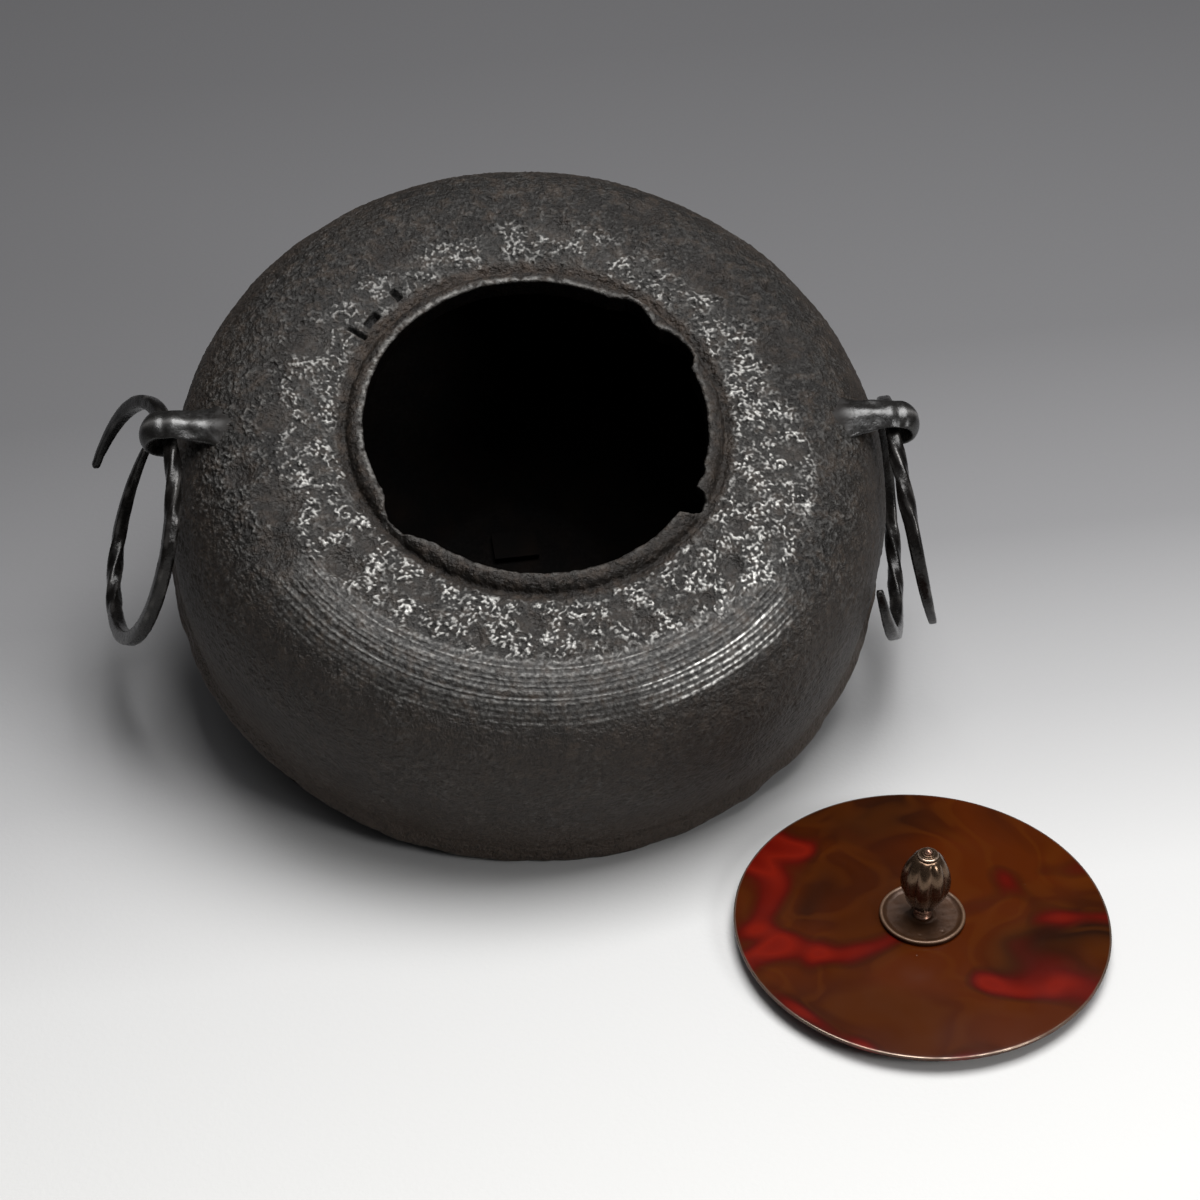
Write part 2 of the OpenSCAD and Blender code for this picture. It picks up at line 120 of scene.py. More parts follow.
def noise(p, scale, seed):
    """Smooth noise, mostly from -1 to 1, with features about as wide as scale."""
    q = p / scale
    cell = np.floor(q).astype(np.int64)
    f = q - cell
    u = f * f * f * (f * (f * 6 - 15) + 10)
    total = 0.0
    for corner in np.ndindex(2, 2, 2):
        bits = lattice(cell + corner, seed)
        weight, rise = 1.0, 0.0
        for k in range(3):
            weight = weight * (u[..., k] if corner[k] else 1 - u[..., k])
            slope = ((bits >> (5 * k)) & 31) / 15.5 - 1
            rise = rise + slope * (f[..., k] - corner[k])
        total = total + weight * rise
    return NOISE_GAIN * total


def crests(p, scale, seed):
    """Winding crests: 1 on the crest, falling below -1 between them."""
    return 1 - CREST_FALL * np.abs(noise(p, scale, seed))


def smooth(low, high, x):
    """0 at low, 1 at high, with a soft step between them."""
    t = np.clip((x - low) / (high - low), 0, 1)
    return t * t * (3 - 2 * t)


def around(azimuth, table):
    """Value at each azimuth, in degrees, between the table's (azimuth, value) pairs."""
    a, v = zip(*table)
    return np.interp(azimuth, a, v, period=360)


def arc_from(azimuth, at, radius):
    """Length along the circle of a radius from one azimuth to each of the others."""
    return np.radians((azimuth - at + 180) % 360 - 180) * radius


# Meshes

def mesh_object(name, points, faces, attributes=None):
    """Smooth-shaded mesh from points in mm and an array of quads."""
    points = np.asarray(points, float).reshape(-1, 3) * MM
    faces = np.asarray(faces, np.int32)
    count, corners = faces.shape
    mesh = bpy.data.meshes.new(name)
    mesh.vertices.add(len(points))
    mesh.vertices.foreach_set("co", points.astype(np.float32).ravel())
    mesh.loops.add(count * corners)
    mesh.loops.foreach_set("vertex_index", faces.ravel())
    mesh.polygons.add(count)
    mesh.polygons.foreach_set("loop_start", np.arange(0, count * corners, corners, dtype=np.int32))
    mesh.polygons.foreach_set("use_smooth", np.ones(count, bool))
    mesh.update(calc_edges=True)
    mesh.validate()
    for key, values in (attributes or {}).items():
        layer = mesh.attributes.new(key, "FLOAT", "POINT")
        layer.data.foreach_set("value", np.asarray(values, np.float32).ravel())
    obj = bpy.data.objects.new(name, mesh)
    bpy.context.scene.collection.objects.link(obj)
    return obj


def grid_faces(rows, columns, close_rows):
    """Quads of a grid whose columns close on themselves, and whose rows may."""
    steps = rows if close_rows else rows - 1
    i, k = np.meshgrid(np.arange(steps), np.arange(columns), indexing="ij")
    j, m = (i + 1) % rows, (k + 1) % columns
    corners = [i * columns + k, i * columns + m, j * columns + m, j * columns + k]
    return np.stack(corners, -1).reshape(-1, 4)


def close_ends(obj, rows, columns):
    """Closes the first and the last row of a tube with one face each."""
    bm = bmesh.new()
    bm.from_mesh(obj.data)
    bm.verts.ensure_lookup_table()
    bm.faces.new([bm.verts[k] for k in range(columns)][::-1])
    bm.faces.new([bm.verts[(rows - 1) * columns + k] for k in range(columns)])
    bmesh.ops.recalc_face_normals(bm, faces=bm.faces)
    bm.to_mesh(obj.data)
    bm.free()


def spread(points, step):
    """Points along a polyline of (r, z), about step apart."""
    points = np.asarray(points, float)
    s = np.r_[0, np.cumsum(np.hypot(*np.diff(points, axis=0).T))]
    n = max(2, int(round(s[-1] / step)) + 1)
    t = np.linspace(0, s[-1], n)
    return np.c_[np.interp(t, s, points[:, 0]), np.interp(t, s, points[:, 1])]


def shoulder_curve(r0, z0, r1, z1, steps):
    """Curve of the shoulder, from the wall up to where it turns level."""
    a = np.linspace(0, math.pi / 2, steps)
    p = 2 / FULLNESS
    return np.c_[r1 + (r0 - r1) * np.cos(a) ** p, z0 + (z1 - z0) * np.sin(a) ** p]


def give(obj, body, nodes):
    """The piece rides on a body and stands for CAD nodes, which it hides."""
    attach(obj, body)
    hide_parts(*nodes)
    return obj


# Casting

AZIMUTHS = 1440
# Distance between the rows of its grid on the skirt, the wall, the turned lines and the top
SKIRT_STEP, WALL_STEP, LINE_STEP, TOP_STEP = 0.8, 0.6, 0.3, 0.35
# Rows across the lip, round its edge, down the bore and back under it
LIP_ROWS, EDGE_ROWS, BORE_ROWS, UNDER_ROWS = 45, 5, 13, 6
# Rounding of the lip's edge, and the step out at the lower end of the bore
LIP_EDGE_R, BORE_CHAMFER = 0.9, 0.6
# Heights of the relief: long lumps, cast grain, turned lines, short cuts
LUMP_H, GRAIN_H, LINE_H, SLOT_DEPTH = 0.36, 0.17, 0.38, 2.8
# Heights of the rough crests: in the band round the mouth, past it, on the wall
BAND_H, HALO_H, WALL_ROUGH_H = 0.62, 0.26, 0.26
# Heights on the lip: grain and waves
LIP_GRAIN_H, LIP_WAVE_H = 0.14, 0.3
# Most that the broken edge of the skirt falls back
RAGGED_MOST = 1.5
# Hollows: factor on their depths, then height, place and width of the rim as shares, unevenness
DENT_SCALE, DENT_RIM_H, DENT_RIM_AT, DENT_RIM_HALF, DENT_UNEVEN = 1.6, 0.15, 1.2, 0.3, 0.28
# Width of the soft side inside the short cuts
SLOT_SOFT = 0.3
# Smooth round hollows: azimuth, radius from the axis, half-width, depth
DENTS = [(212, 75.0, 5.5, 0.8), (212.5, 86.0, 8.0, 1.6), (193, 92.5, 9.5, 1.5), (232, 76.0, 6.5, 0.8),
         (261, 77.5, 6.0, 1.1), (283, 76.0, 5.0, 0.8), (286, 84.0, 6.0, 1.1), (312, 85.0, 6.5, 1.3),
         (302, 88.0, 3.5, 0.6), (322, 78.0, 4.0, 0.6), (30, 96.0, 4.0, 0.8), (28, 104.0, 3.0, 0.7),
         (14, 92.0, 9.0, 0.8), (38, 89.0, 10.0, 0.9), (76, 84.0, 6.0, 0.9), (150, 84.0, 8.0, 1.0),
         (118, 86.0, 9.0, 0.8), (172, 90.0, 7.0, 0.8), (346, 88.0, 5.0, 0.5), (58, 101.0, 8.0, 0.7),
         (202, 101.0, 8.0, 1.0), (184, 103.0, 7.0, 0.9), (248, 86.0, 4.5, 0.7)]
# Short cuts beside the mouth: azimuth, radius, half-length outwards, half-width along the ring
SLOTS = [(124.5, 72.6, 2.3, 1.2), (135.3, 71.4, 1.4, 3.3), (141.2, 72.4, 3.7, 1.0)]
# Outer limit of the rough band round the mouth, and of the bright rubbing and painted highlight on it
ROUGH_LIMIT = [(0, 88), (30, 86), (60, 84), (80, 90), (100, 84), (120, 86), (145, 95), (165, 103),
               (180, 108), (198, 109), (207, 96), (225, 92), (285, 93), (308, 98), (322, 102), (345, 97)]
WEAR_AND_HIGHLIGHT_LIMIT = [(0, 87), (30, 84), (60, 82), (80, 87), (100, 82), (120, 83), (145, 86), (165, 88),
              (180, 89), (198, 90), (207, 91), (225, 91), (285, 92), (308, 97), (322, 101), (345, 97)]
# How bright the peaks are painted: rubbed iron, and painted highlight strongest at the front and sides
PEAK_WEAR_AND_HIGHLIGHT = [(0, 0.8), (20, 0.75), (40, 0.5), (60, 0.55), (80, 0.4), (105, 0.5), (125, 0.4), (150, 0.5),
        (178, 0.7), (205, 0.9), (245, 0.9), (280, 0.9), (330, 1.0), (346, 0.95)]
# How bright the edge of the lip is painted: rubbed iron, and painted highlight strongest on the far side
LIP_WEAR_AND_HIGHLIGHT = [(0, 0.08), (50, 0.16), (100, 0.3), (150, 0.32), (185, 0.25), (215, 0.1), (270, 0.06),
            (320, 0.06)]
# Soft limits of the turned lines and of their painted glint: radius in, out, azimuth from, to
LINES_AT = ((90, 92.5), (116, 109), (200, 214), (324, 308))
GLINT_AT = ((103, 106), (114.5, 110.5), (278, 288), (315, 303))
# Radii between which the grid's rows are closest, and the distance from line to line
LINES_IN_R, LINES_OUT_R, LINE_PITCH = 92, 117, 2.1


def mouth_edge(azimuth):
    """Radius of the broken edge of the mouth at each azimuth."""
    a = np.radians(azimuth)
    edge = np.full(len(azimuth), MOUTH_R)
    for chip, reach, break_r in LIP_CHIPS:
        middle = MOUTH_R + reach - break_r
        d = a - math.radians(chip)
        inside = break_r ** 2 - (middle * np.sin(d)) ** 2
        far = middle * np.cos(d) + np.sqrt(np.maximum(inside, 0))
        edge = np.where((inside > 0) & (np.cos(d) > 0), np.maximum(edge, far), edge)
    p = np.c_[np.cos(a), np.sin(a), np.zeros(len(a))] * MOUTH_R
    bitten = smooth(0.1, 1.5, edge - MOUTH_R)
    jag = 0.22 * noise(p, 3.0, 5) + 0.1 * noise(p, 1.5, 6) + 0.45 * noise(p, 9.0, 7)
    return edge + jag * (0.6 + 1.5 * bitten)


def lip_height(r):
    """Height of the gutter and the lip at a radius."""
    table = [(MOUTH_R - 2, LIP_Z), (MOUTH_R + 1.0, LIP_Z), (LIP_OUT_R - 1.4, LIP_Z - 0.2),
             (LIP_OUT_R - 0.3, LIP_Z - 0.8), (LIP_OUT_R + 0.6, LIP_Z - 2.0),
             (LIP_OUT_R + 1.3, GUTTER_Z + 0.7), (LIP_OUT_R + 2.0, GUTTER_Z + 0.3),
             (GUTTER_R, GUTTER_Z + 0.6), (GUTTER_R + 1.8, GUTTER_Z + 1.6),
             (GUTTER_R + 3.6, SHOULDER_Z - 0.8), (GUTTER_R + 6.0, SHOULDER_Z - 0.35),
             (GUTTER_R + 12.0, SHOULDER_Z)]
    return np.interp(r, *zip(*table))


def kettle_grid():
    """Azimuths, the radius and height of each row at each of them, and how far each row faces outside.

    The rows run up the outside, over the lip, down the bore and back along the inside, still smooth.
    """
    azimuth = np.arange(AZIMUTHS) * 360 / AZIMUTHS
    edge = mouth_edge(azimuth)
    near_mouth = GUTTER_R + 8
    skirt = spread([(SKIRT_R - 0.3, SKIRT_H + 0.05), (SKIRT_R, SKIRT_H + 0.6), (SKIRT_R, SKIRT_H + 2.2),
                    (SKIRT_R - 1, SKIRT_H + 4), (WALL_R - 0.3, SKIRT_H + 7), (WALL_R - 0.2, SKIRT_H + 14),
                    (WALL_R, WALL_Z)], SKIRT_STEP)
    curve = shoulder_curve(WALL_R, WALL_Z, SHOULDER_R, SHOULDER_Z, 400)
    low = curve[curve[:, 0] > LINES_OUT_R]
    lined = curve[(curve[:, 0] <= LINES_OUT_R) & (curve[:, 0] > LINES_IN_R)]
    high = np.r_[curve[curve[:, 0] <= LINES_IN_R], [(near_mouth, SHOULDER_Z)]]
    outer = np.concatenate([skirt[:-1], spread(low, WALL_STEP), spread(lined, LINE_STEP),
                            spread(high, TOP_STEP)])
    outer_r = np.repeat(outer[:, :1], AZIMUTHS, 1)
    outer_z = np.repeat(outer[:, 1:], AZIMUTHS, 1)
    level_rows = outer[:, 0] < SHOULDER_R
    outer_z[level_rows] = lip_height(outer_r[level_rows])

    t = np.linspace(0, 1, LIP_ROWS + 1)[1:, None]
    lip_r = near_mouth + (edge + LIP_EDGE_R - near_mouth) * t
    lip_z = lip_height(lip_r)
    top = lip_z[-1]
    turn = np.radians(np.linspace(0, 90, EDGE_ROWS + 1))[1:, None]
    round_r = edge + LIP_EDGE_R * (1 - np.sin(turn))
    round_z = top - LIP_EDGE_R * (1 - np.cos(turn))
    down = np.linspace(0, 1, BORE_ROWS + 1)[1:, None]
    bore_r = edge + 0 * down
    bore_z = top - LIP_EDGE_R + (MOUTH_LOW_Z + BORE_CHAMFER - top + LIP_EDGE_R) * down
    under = np.linspace(0, 1, UNDER_ROWS + 1)[1:, None]
    under_r = edge + BORE_CHAMFER + (GUTTER_R + 4 - edge - BORE_CHAMFER) * under
    under_z = MOUTH_LOW_Z + 0 * under_r

    ceiling = shoulder_curve(INNER_R, WALL_Z, SHOULDER_R, SHOULDER_Z - WALL, 200)[::-1]
    ledge = [(INNER_R, WALL_Z), (LEDGE_R, SEAT_Z + 0.6), (LEDGE_R, SEAT_Z)]
    skirt_inside = [(SKIRT_IN_R, SEAT_Z), (SKIRT_IN_R, SKIRT_H + 1.5), (SKIRT_IN_R + 1, SKIRT_H),
                    (SKIRT_R - 1.2, SKIRT_H)]
    inner = np.concatenate([spread(ceiling, 2.0), spread(ledge, 2.0)[1:],
                            spread([(LEDGE_R, SEAT_Z), (SKIRT_IN_R, SEAT_Z)], 1.5)[1:],
                            spread(skirt_inside, 1.2)[1:]])
    inner_r = np.repeat(inner[:, :1], AZIMUTHS, 1)
    inner_z = np.repeat(inner[:, 1:], AZIMUTHS, 1)
    r = np.concatenate([outer_r, lip_r, round_r, bore_r, under_r, inner_r])
    z = np.concatenate([outer_z, lip_z, round_z, bore_z, under_z, inner_z])
    outside = np.zeros((len(r), 1))
    first_in = len(outer_r) + len(lip_r)
    outside[:first_in] = 1
    outside[first_in:first_in + len(round_r), 0] = np.linspace(0.9, 0.1, len(round_r))
    return azimuth, r, z, outside


def dented(r, az, p):
    """Lift of the smooth hollows, how far each point lies inside one, and how near a rim."""
    lift, inside, rim = np.zeros_like(r), np.zeros_like(r), np.zeros_like(r)
    for at, radius, half, depth in DENTS:
        d = np.hypot(r - radius, arc_from(az, at, radius))
        d = d * (1 + DENT_UNEVEN * noise(p, 1.3 * half, 31)) / half
        edge = np.exp(-((d - DENT_RIM_AT) / DENT_RIM_HALF) ** 2)
        lift += DENT_SCALE * depth * (DENT_RIM_H * edge - np.where(d < 1, (1 - d * d) ** 2, 0))
        inside = np.maximum(inside, smooth(1.1, 0.65, d))
        rim = np.maximum(rim, edge)
    return lift, inside, rim


def slotted(r, az, reach):
    """1 inside the short cuts beside the mouth, falling to 0 at a reach past their sides."""
    cut = np.zeros_like(r)
    for at, radius, half_out, half_along in SLOTS:
        d = np.maximum(np.abs(r - radius) - half_out, np.abs(arc_from(az, at, radius)) - half_along)
        cut = np.maximum(cut, smooth(reach, -SLOT_SOFT, d))
    return cut


def within(r, az, r_in, r_out, az_from, az_to):
    """1 between two radii and two azimuths, each limit a pair: where it is 0, then where it is 1."""
    return smooth(*r_in, r) * smooth(*r_out, r) * smooth(*az_from, az) * smooth(*az_to, az)


def turned_lines(r, z, az, p):
    """Uneven ridges swept round the front of the shoulder: their place, height, and bright rubbing with a
    painted glint at the right front.
    """
    s = np.cumsum(np.hypot(np.diff(r[:, 0], prepend=r[0, 0]), np.diff(z[:, 0], prepend=z[0, 0])))
    s = s[:, None] + 0 * r
    zone = within(r, az, *LINES_AT)
    wander = noise(np.stack([s, az * 0.03, 0 * s], -1), 3.6, 51)
    phase = s / LINE_PITCH + 0.55 * wander
    line = np.floor(phase).astype(np.int64)
    height = 0.2 + 0.8 * lattice(np.stack([line, 0 * line, 0 * line], -1), 52) / 65535
    height = height * (0.75 + 0.45 * noise(np.stack([az * 0.3, 7.3 * line, 0 * s], -1), 4.0, 53))
    uneven = noise(np.stack([s, az * 0.1, 0 * s], -1), 0.8, 55)
    ridge = np.abs(np.sin(math.pi * phase)) ** 2 + 0.25 * uneven
    upper_wear = 0.4 * smooth(99, 93, r) * smooth(210, 228, az) * smooth(306, 284, az)
    # glint: painted highlight on the lines at the right front, where a lamp there glints
    glint = within(r, az, *GLINT_AT)
    flecks = smooth(-0.35, 0.45, noise(p, 1.3, 54))
    ridge_wear_and_glint = smooth(0.55, 1.0, ridge) * height * (0.3 + upper_wear + 3.2 * glint) * (0.2 + 0.8 * flecks)
    ridge_wear_and_glint = ridge_wear_and_glint + (0.03 + 0.05 * glint) * flecks
    return zone, zone * height * (ridge - 0.5), zone * ridge_wear_and_glint


def kettle_body():
    """Upper casting: a smooth grid pushed out and in by its relief, with marks for the material."""
    azimuth, r, z, outside = kettle_grid()
    a = np.radians(azimuth)[None, :]
    az = azimuth[None, :] + 0 * r
    p = np.stack([r * np.cos(a), r * np.sin(a), z], -1)
    slope_r, slope_z = np.gradient(r, axis=0), np.gradient(z, axis=0)
    size = np.maximum(np.hypot(slope_r, slope_z), 1e-6)
    out_r, out_z = slope_z / size, -slope_r / size
    above_skirt = outside * smooth(SKIRT_H + 3, SKIRT_H + 9, z)
    upper = above_skirt * (z > WALL_Z)
    on_lip = upper * smooth(GUTTER_R + 4.5, GUTTER_R + 1.5, r)

    # Where each kind of surface lies
    warped = p + 0.8 * np.stack([noise(p, 2.6, seed) for seed in (11, 12, 13)], -1)
    rough = 0.45 * crests(warped, 3.3, 21) + 0.3 * crests(warped, 1.8, 22) + 0.7 * noise(p, 1.2, 23) - 0.15
    dents, in_dent, on_rim = dented(r, az, p)
    cut = slotted(r, az, 0.2) * upper
    limit = around(az, ROUGH_LIMIT) + 3.5 * noise(p, 14.0, 41)
    beyond_gutter = upper * smooth(GUTTER_R + 1.0, GUTTER_R + 4.0, r)
    band = beyond_gutter * smooth(limit + 4, limit - 3, r)
    patchy = smooth(-0.5, 0.4, noise(p, 9.0, 42) + 0.5 * noise(p, 5.0, 43) + 0.45 * on_rim)
    coarse = band * (0.5 + 0.5 * patchy) * (1 - 0.88 * in_dent) * (1 - 0.75 * slotted(r, az, 2.5))
    halo = beyond_gutter * smooth(limit + 30, limit - 2, r) * (1 - band) * (1 - 0.7 * in_dent)
    lined, lines, line_wear_and_glint = turned_lines(r, z, az, p)
    wall = above_skirt * smooth(102, 110, r) * (1 - lined) * smooth(-0.6, 0.6, noise(p, 17.0, 44))

    # Relief, and the broken edge of the skirt
    grain = noise(p, 2.4, 61) + 0.7 * noise(p, 1.4, 62)
    lump = noise(p, 26.0, 63) + 0.5 * noise(p, 13.0, 64)
    lift = above_skirt * (LUMP_H * lump + GRAIN_H * grain * (1 - 0.6 * lined)) + upper * dents
    lift += WALL_ROUGH_H * wall * rough
    lift += BAND_H * coarse * rough + HALO_H * halo * (1 - 0.7 * lined) * rough + LINE_H * upper * lines
    lift += on_lip * (LIP_GRAIN_H * grain + LIP_WAVE_H * noise(p, 7.0, 65)) - SLOT_DEPTH * cut
    stub = outside * smooth(SKIRT_H + 6.5, SKIRT_H + 3.5, z)
    broken = 0.5 + 0.9 * noise(p * [1, 1, 0.2], 15.0, 66) + 0.3 * noise(p * [1, 1, 0.3], 5.0, 67)
    ragged = np.clip(broken, 0, RAGGED_MOST)
    r2 = r + out_r * lift - stub * ragged
    z2 = z + out_z * lift
    shape = np.stack([r2 * np.cos(a), r2 * np.sin(a), z2], -1)

    # Marks for the material; the bright crests, lines and lip edge are partly rubbed iron and partly painted
    # highlight
    peaks = smooth(0.12, 0.66, rough)
    wear_and_highlight_limit = around(az, WEAR_AND_HIGHLIGHT_LIMIT) + 2.5 * noise(p, 8.0, 72)
    bright = 0.22 + 0.78 * smooth(wear_and_highlight_limit + 4, wear_and_highlight_limit - 4, r)
    wear_and_highlight = coarse * peaks * bright * around(az, PEAK_WEAR_AND_HIGHLIGHT) * (0.2 + 0.8 * patchy) + 0.06 * halo * peaks
    wear_and_highlight += upper * line_wear_and_glint + 0.022 * band * bright + 0.04 * wall * peaks
    edge = mouth_edge(azimuth)
    # Bright lip edge: rubbed iron and painted highlight
    wear_and_highlight += on_lip * smooth(edge + 2.6, edge + 1.0, r) * around(az, LIP_WEAR_AND_HIGHLIGHT) * smooth(-1.0, 0.9, grain)
    wear_and_highlight *= 1 - cut
    in_mouth = 1 - outside + 0 * r
    rust = on_lip * smooth(20, 60, az) * smooth(170, 130, az) * smooth(LIP_Z - 0.5, GUTTER_Z + 0.6, z)
    rust = rust + 0.35 * on_lip + 0.35 * upper * in_dent
    # Lighter brown on the lower wall, stronger towards the bottom: partly the iron's own tone, partly painted
    # bounce light from the floor
    brown_and_bounce_light = smooth(108, 122, r) * (0.33 + 0.67 * smooth(82, 54, z))
    # Darker in the rough's hollows and in the dents, and painted shadow in the short cuts
    dark_hollows_and_cut_shadow = 0.4 * coarse * smooth(0.0, -0.6, rough) + 0.3 * upper * in_dent + cut
    marks = {"wear_and_highlight": np.clip(wear_and_highlight, 0, 1), "inside": in_mouth, "rust": np.clip(rust, 0, 1),
             "brown_and_bounce_light": brown_and_bounce_light, "lined": lined, "dark_hollows_and_cut_shadow": np.clip(dark_hollows_and_cut_shadow, 0, 1)}
    obj = mesh_object("kettle_casting", posed(shape), grid_faces(*r.shape, close_rows=True), marks)
    return give(obj, "kettle", ["kettle_body"])


# Bottom

def kettle_bottom():
    """Round bottom: outside from the foot up to the rim, then the inside back down to the floor."""
    start = math.tan(LEAN + math.radians(BOWL_START))
    bend = (RIM_Z - start * (RIM_R - FOOT_R)) / (RIM_R - FOOT_R) ** 2
    rise = WALL / math.cos(LEAN + math.radians(BOWL_SLOPE))

    def bowl(r):
        return start * (r - FOOT_R) + bend * (r - FOOT_R) ** 2

    out = np.linspace(FOOT_R, RIM_R, 44)
    back = np.linspace(RIM_R - WALL, FOOT_R + 8, 30)
    hub = 5.0
    foot = [(hub, 0.0), (FOOT_R * 0.5, 0.0), (FOOT_R - 0.8, 0.0)]
    outer = np.concatenate([foot, np.c_[out, bowl(out)]])
    rim = spread([(RIM_R, RIM_Z), (RIM_R, SEAT_Z), (RIM_R - WALL, SEAT_Z)], 1.5)[1:]
    inner = np.concatenate([np.c_[back, np.maximum(FLOOR_H, bowl(back) + rise)],
                            [(FOOT_R * 0.6, FLOOR_H), (hub, FLOOR_H)]])
    profile = np.concatenate([outer, rim, inner])
    rows, columns = len(profile), 360
    a = np.radians(np.arange(columns) * 360 / columns)[None, :]
    r, z = profile[:, :1] + 0 * a, profile[:, 1:] + 0 * a
    p = np.stack([r * np.cos(a), r * np.sin(a), z], -1)
    under = (np.arange(rows) < len(outer))[:, None]
    uneven = under * smooth(RIM_R - 4, RIM_R - 12, r) * smooth(hub, FOOT_R * 0.5, r)
    p[..., 2] += uneven * np.abs(0.35 * noise(p, 12.0, 81) + 0.16 * noise(p, 3.0, 82))
    obj = mesh_object("kettle_bowl", posed(p), grid_faces(rows, columns, close_rows=False),
                      {"inside": 1.0 - under + 0 * r})
    close_ends(obj, rows, columns)
    return give(obj, "kettle", ["kettle_bottom"])


# Lugs

# Half-width of the strap: at its root, less towards the eye, more in the wall, less at the tip,
# where the strap also gets as much thinner
LUG_HALF, LUG_TAPER, LUG_SPREAD, LUG_TIP = 8.4, 2.8, 1.2, 0.9
# Dip across the ridge before the curl
NOTCH_AT, NOTCH_HALF, NOTCH_DEPTH = 1.5, 2.2, 0.8
# Curl, rounder than in the solids: radius across its hollow side, fall of its edges, added thickness
FLARE, CURL_DROP, CURL_EXTRA = 12.0, 1.7, 0.7
# Depth of the hammer marks on the curl, and how much more there is on the strap
CURL_HAMMER, STRAP_HAMMER = 0.12, 0.33


def lug(name, side, node):
    """Roof-shaped strap out of the wall that curls over and down round the eye."""
    strap_x = np.linspace(-ROOT_L - 3, 0, 48)
    curl_angle = np.linspace(90, -CURL_END, 80)[1:]
    x = np.r_[strap_x, 0 * curl_angle][:, None]
    angle = np.radians(np.r_[0 * strap_x + 90, curl_angle])[:, None]
    curl = (90 - np.degrees(angle)) / (90 + CURL_END)
    to_eye = smooth(-ROOT_L, 0, x)
    along = x + (EYE_R + STRAP_T) * (math.pi / 2 - angle)
    half = LUG_HALF - LUG_TAPER * to_eye + LUG_SPREAD * smooth(-12, -22, x) - LUG_TIP * smooth(0.4, 1.0, curl)
    ridge = EYE_R + STRAP_T - 0.6 + 0.6 * smooth(-7, 0, x) - LUG_TIP * smooth(0.5, 1.0, curl)
    notch = NOTCH_DEPTH * np.exp(-((along - NOTCH_AT) / NOTCH_HALF) ** 2)
    ridge = ridge - 1.2 * smooth(-ROOT_L + 1, -ROOT_L - 3, x) - notch
    ridge = ridge + CURL_EXTRA * smooth(0.05, 0.3, curl)
    rows, columns = len(x), 48
    q = np.radians(np.arange(columns) * 360 / columns)[None, :]
    c, s = np.cos(q), np.sin(q)
    across = half * np.sign(c) * np.abs(c) ** 0.7
    to_curl = smooth(-6, 0, x)
    roof_drop = ROOF_DROP * (np.sqrt(across ** 2 + 0.6) - 0.77) / half
    roof = ridge - roof_drop * (1 - to_curl) - CURL_DROP * (across / half) ** 2 * to_curl
    flared = EYE_R + FLARE - np.sqrt(FLARE ** 2 - across ** 2)
    strap_floor = EYE_R + STRAP_LIFT - 2.2 * smooth(-6, -11, x)
    floor = strap_floor * (1 - to_curl) + flared * to_curl
    edge = (roof[:, :1] + floor[:, :1]) / 2
    radial = edge + (np.where(s > 0, roof, floor) - edge) * np.abs(s) ** 0.5
    tip = np.clip((np.arange(rows)[:, None] - rows + 9) / 8, 0, 1)
    nose = np.sqrt(np.maximum(0.03, 1 - tip ** 2))
    radial = edge + (radial - edge) * nose
    across = across * nose
    p = np.stack([EYE_OUT + x + radial * np.cos(angle), across, EYE_Z + radial * np.sin(angle)], -1)
    hammer = CURL_HAMMER + STRAP_HAMMER * smooth(-3, -8, x)
    p = p + np.stack([noise(p, 5.0, seed) for seed in (91, 92, 93)], -1) * hammer[..., None]
    turn = math.radians(LUG_AZIMUTH[side])
    turned = np.stack([p[..., 0] * math.cos(turn) - p[..., 1] * math.sin(turn),
                       p[..., 0] * math.sin(turn) + p[..., 1] * math.cos(turn), p[..., 2]], -1)
    # Light stripe along the ridge: partly rubbed iron, partly painted highlight
    wear_and_highlight = (s > 0) * np.exp(-(across / 1.1) ** 2) * smooth(-21, -13, x)
    rooted = smooth(-12, -20, x) + 0 * across
    obj = mesh_object(name, posed(turned), grid_faces(rows, columns, close_rows=False),
                      {"wear_and_highlight": wear_and_highlight, "rooted": rooted})
    close_ends(obj, rows, columns)
    return give(obj, "kettle", [node])


# Rings

# Power that squares the bar's section, its rounded ends in degrees, depths of hammer marks and grain
SQUARENESS, TIP_ROUND, RING_HAMMER, RING_GRAIN = 5, 2.2, 0.14, 0.04


def bar_half(tips, t):
    """Half the bar's width along the arc: full in the middle, drawn out to thin tips."""
    d = np.minimum(t - tips[0], tips[1] - t) / TAPER_ANGLE
    drawn = TIP_W + (BAR_W - TIP_W) * np.sin(np.radians(90 * np.clip(d, 0, 1)))
    return np.where(d < 1, drawn, BAR_W) / 2


def bar_turn(twists, t):
    """The bar turns over in each twisted stretch."""
    return sum(BAR_TWIST * (np.clip((t - at) / TWIST_HALF_ANGLE, -1, 1) + 1) / 2 for at in twists)


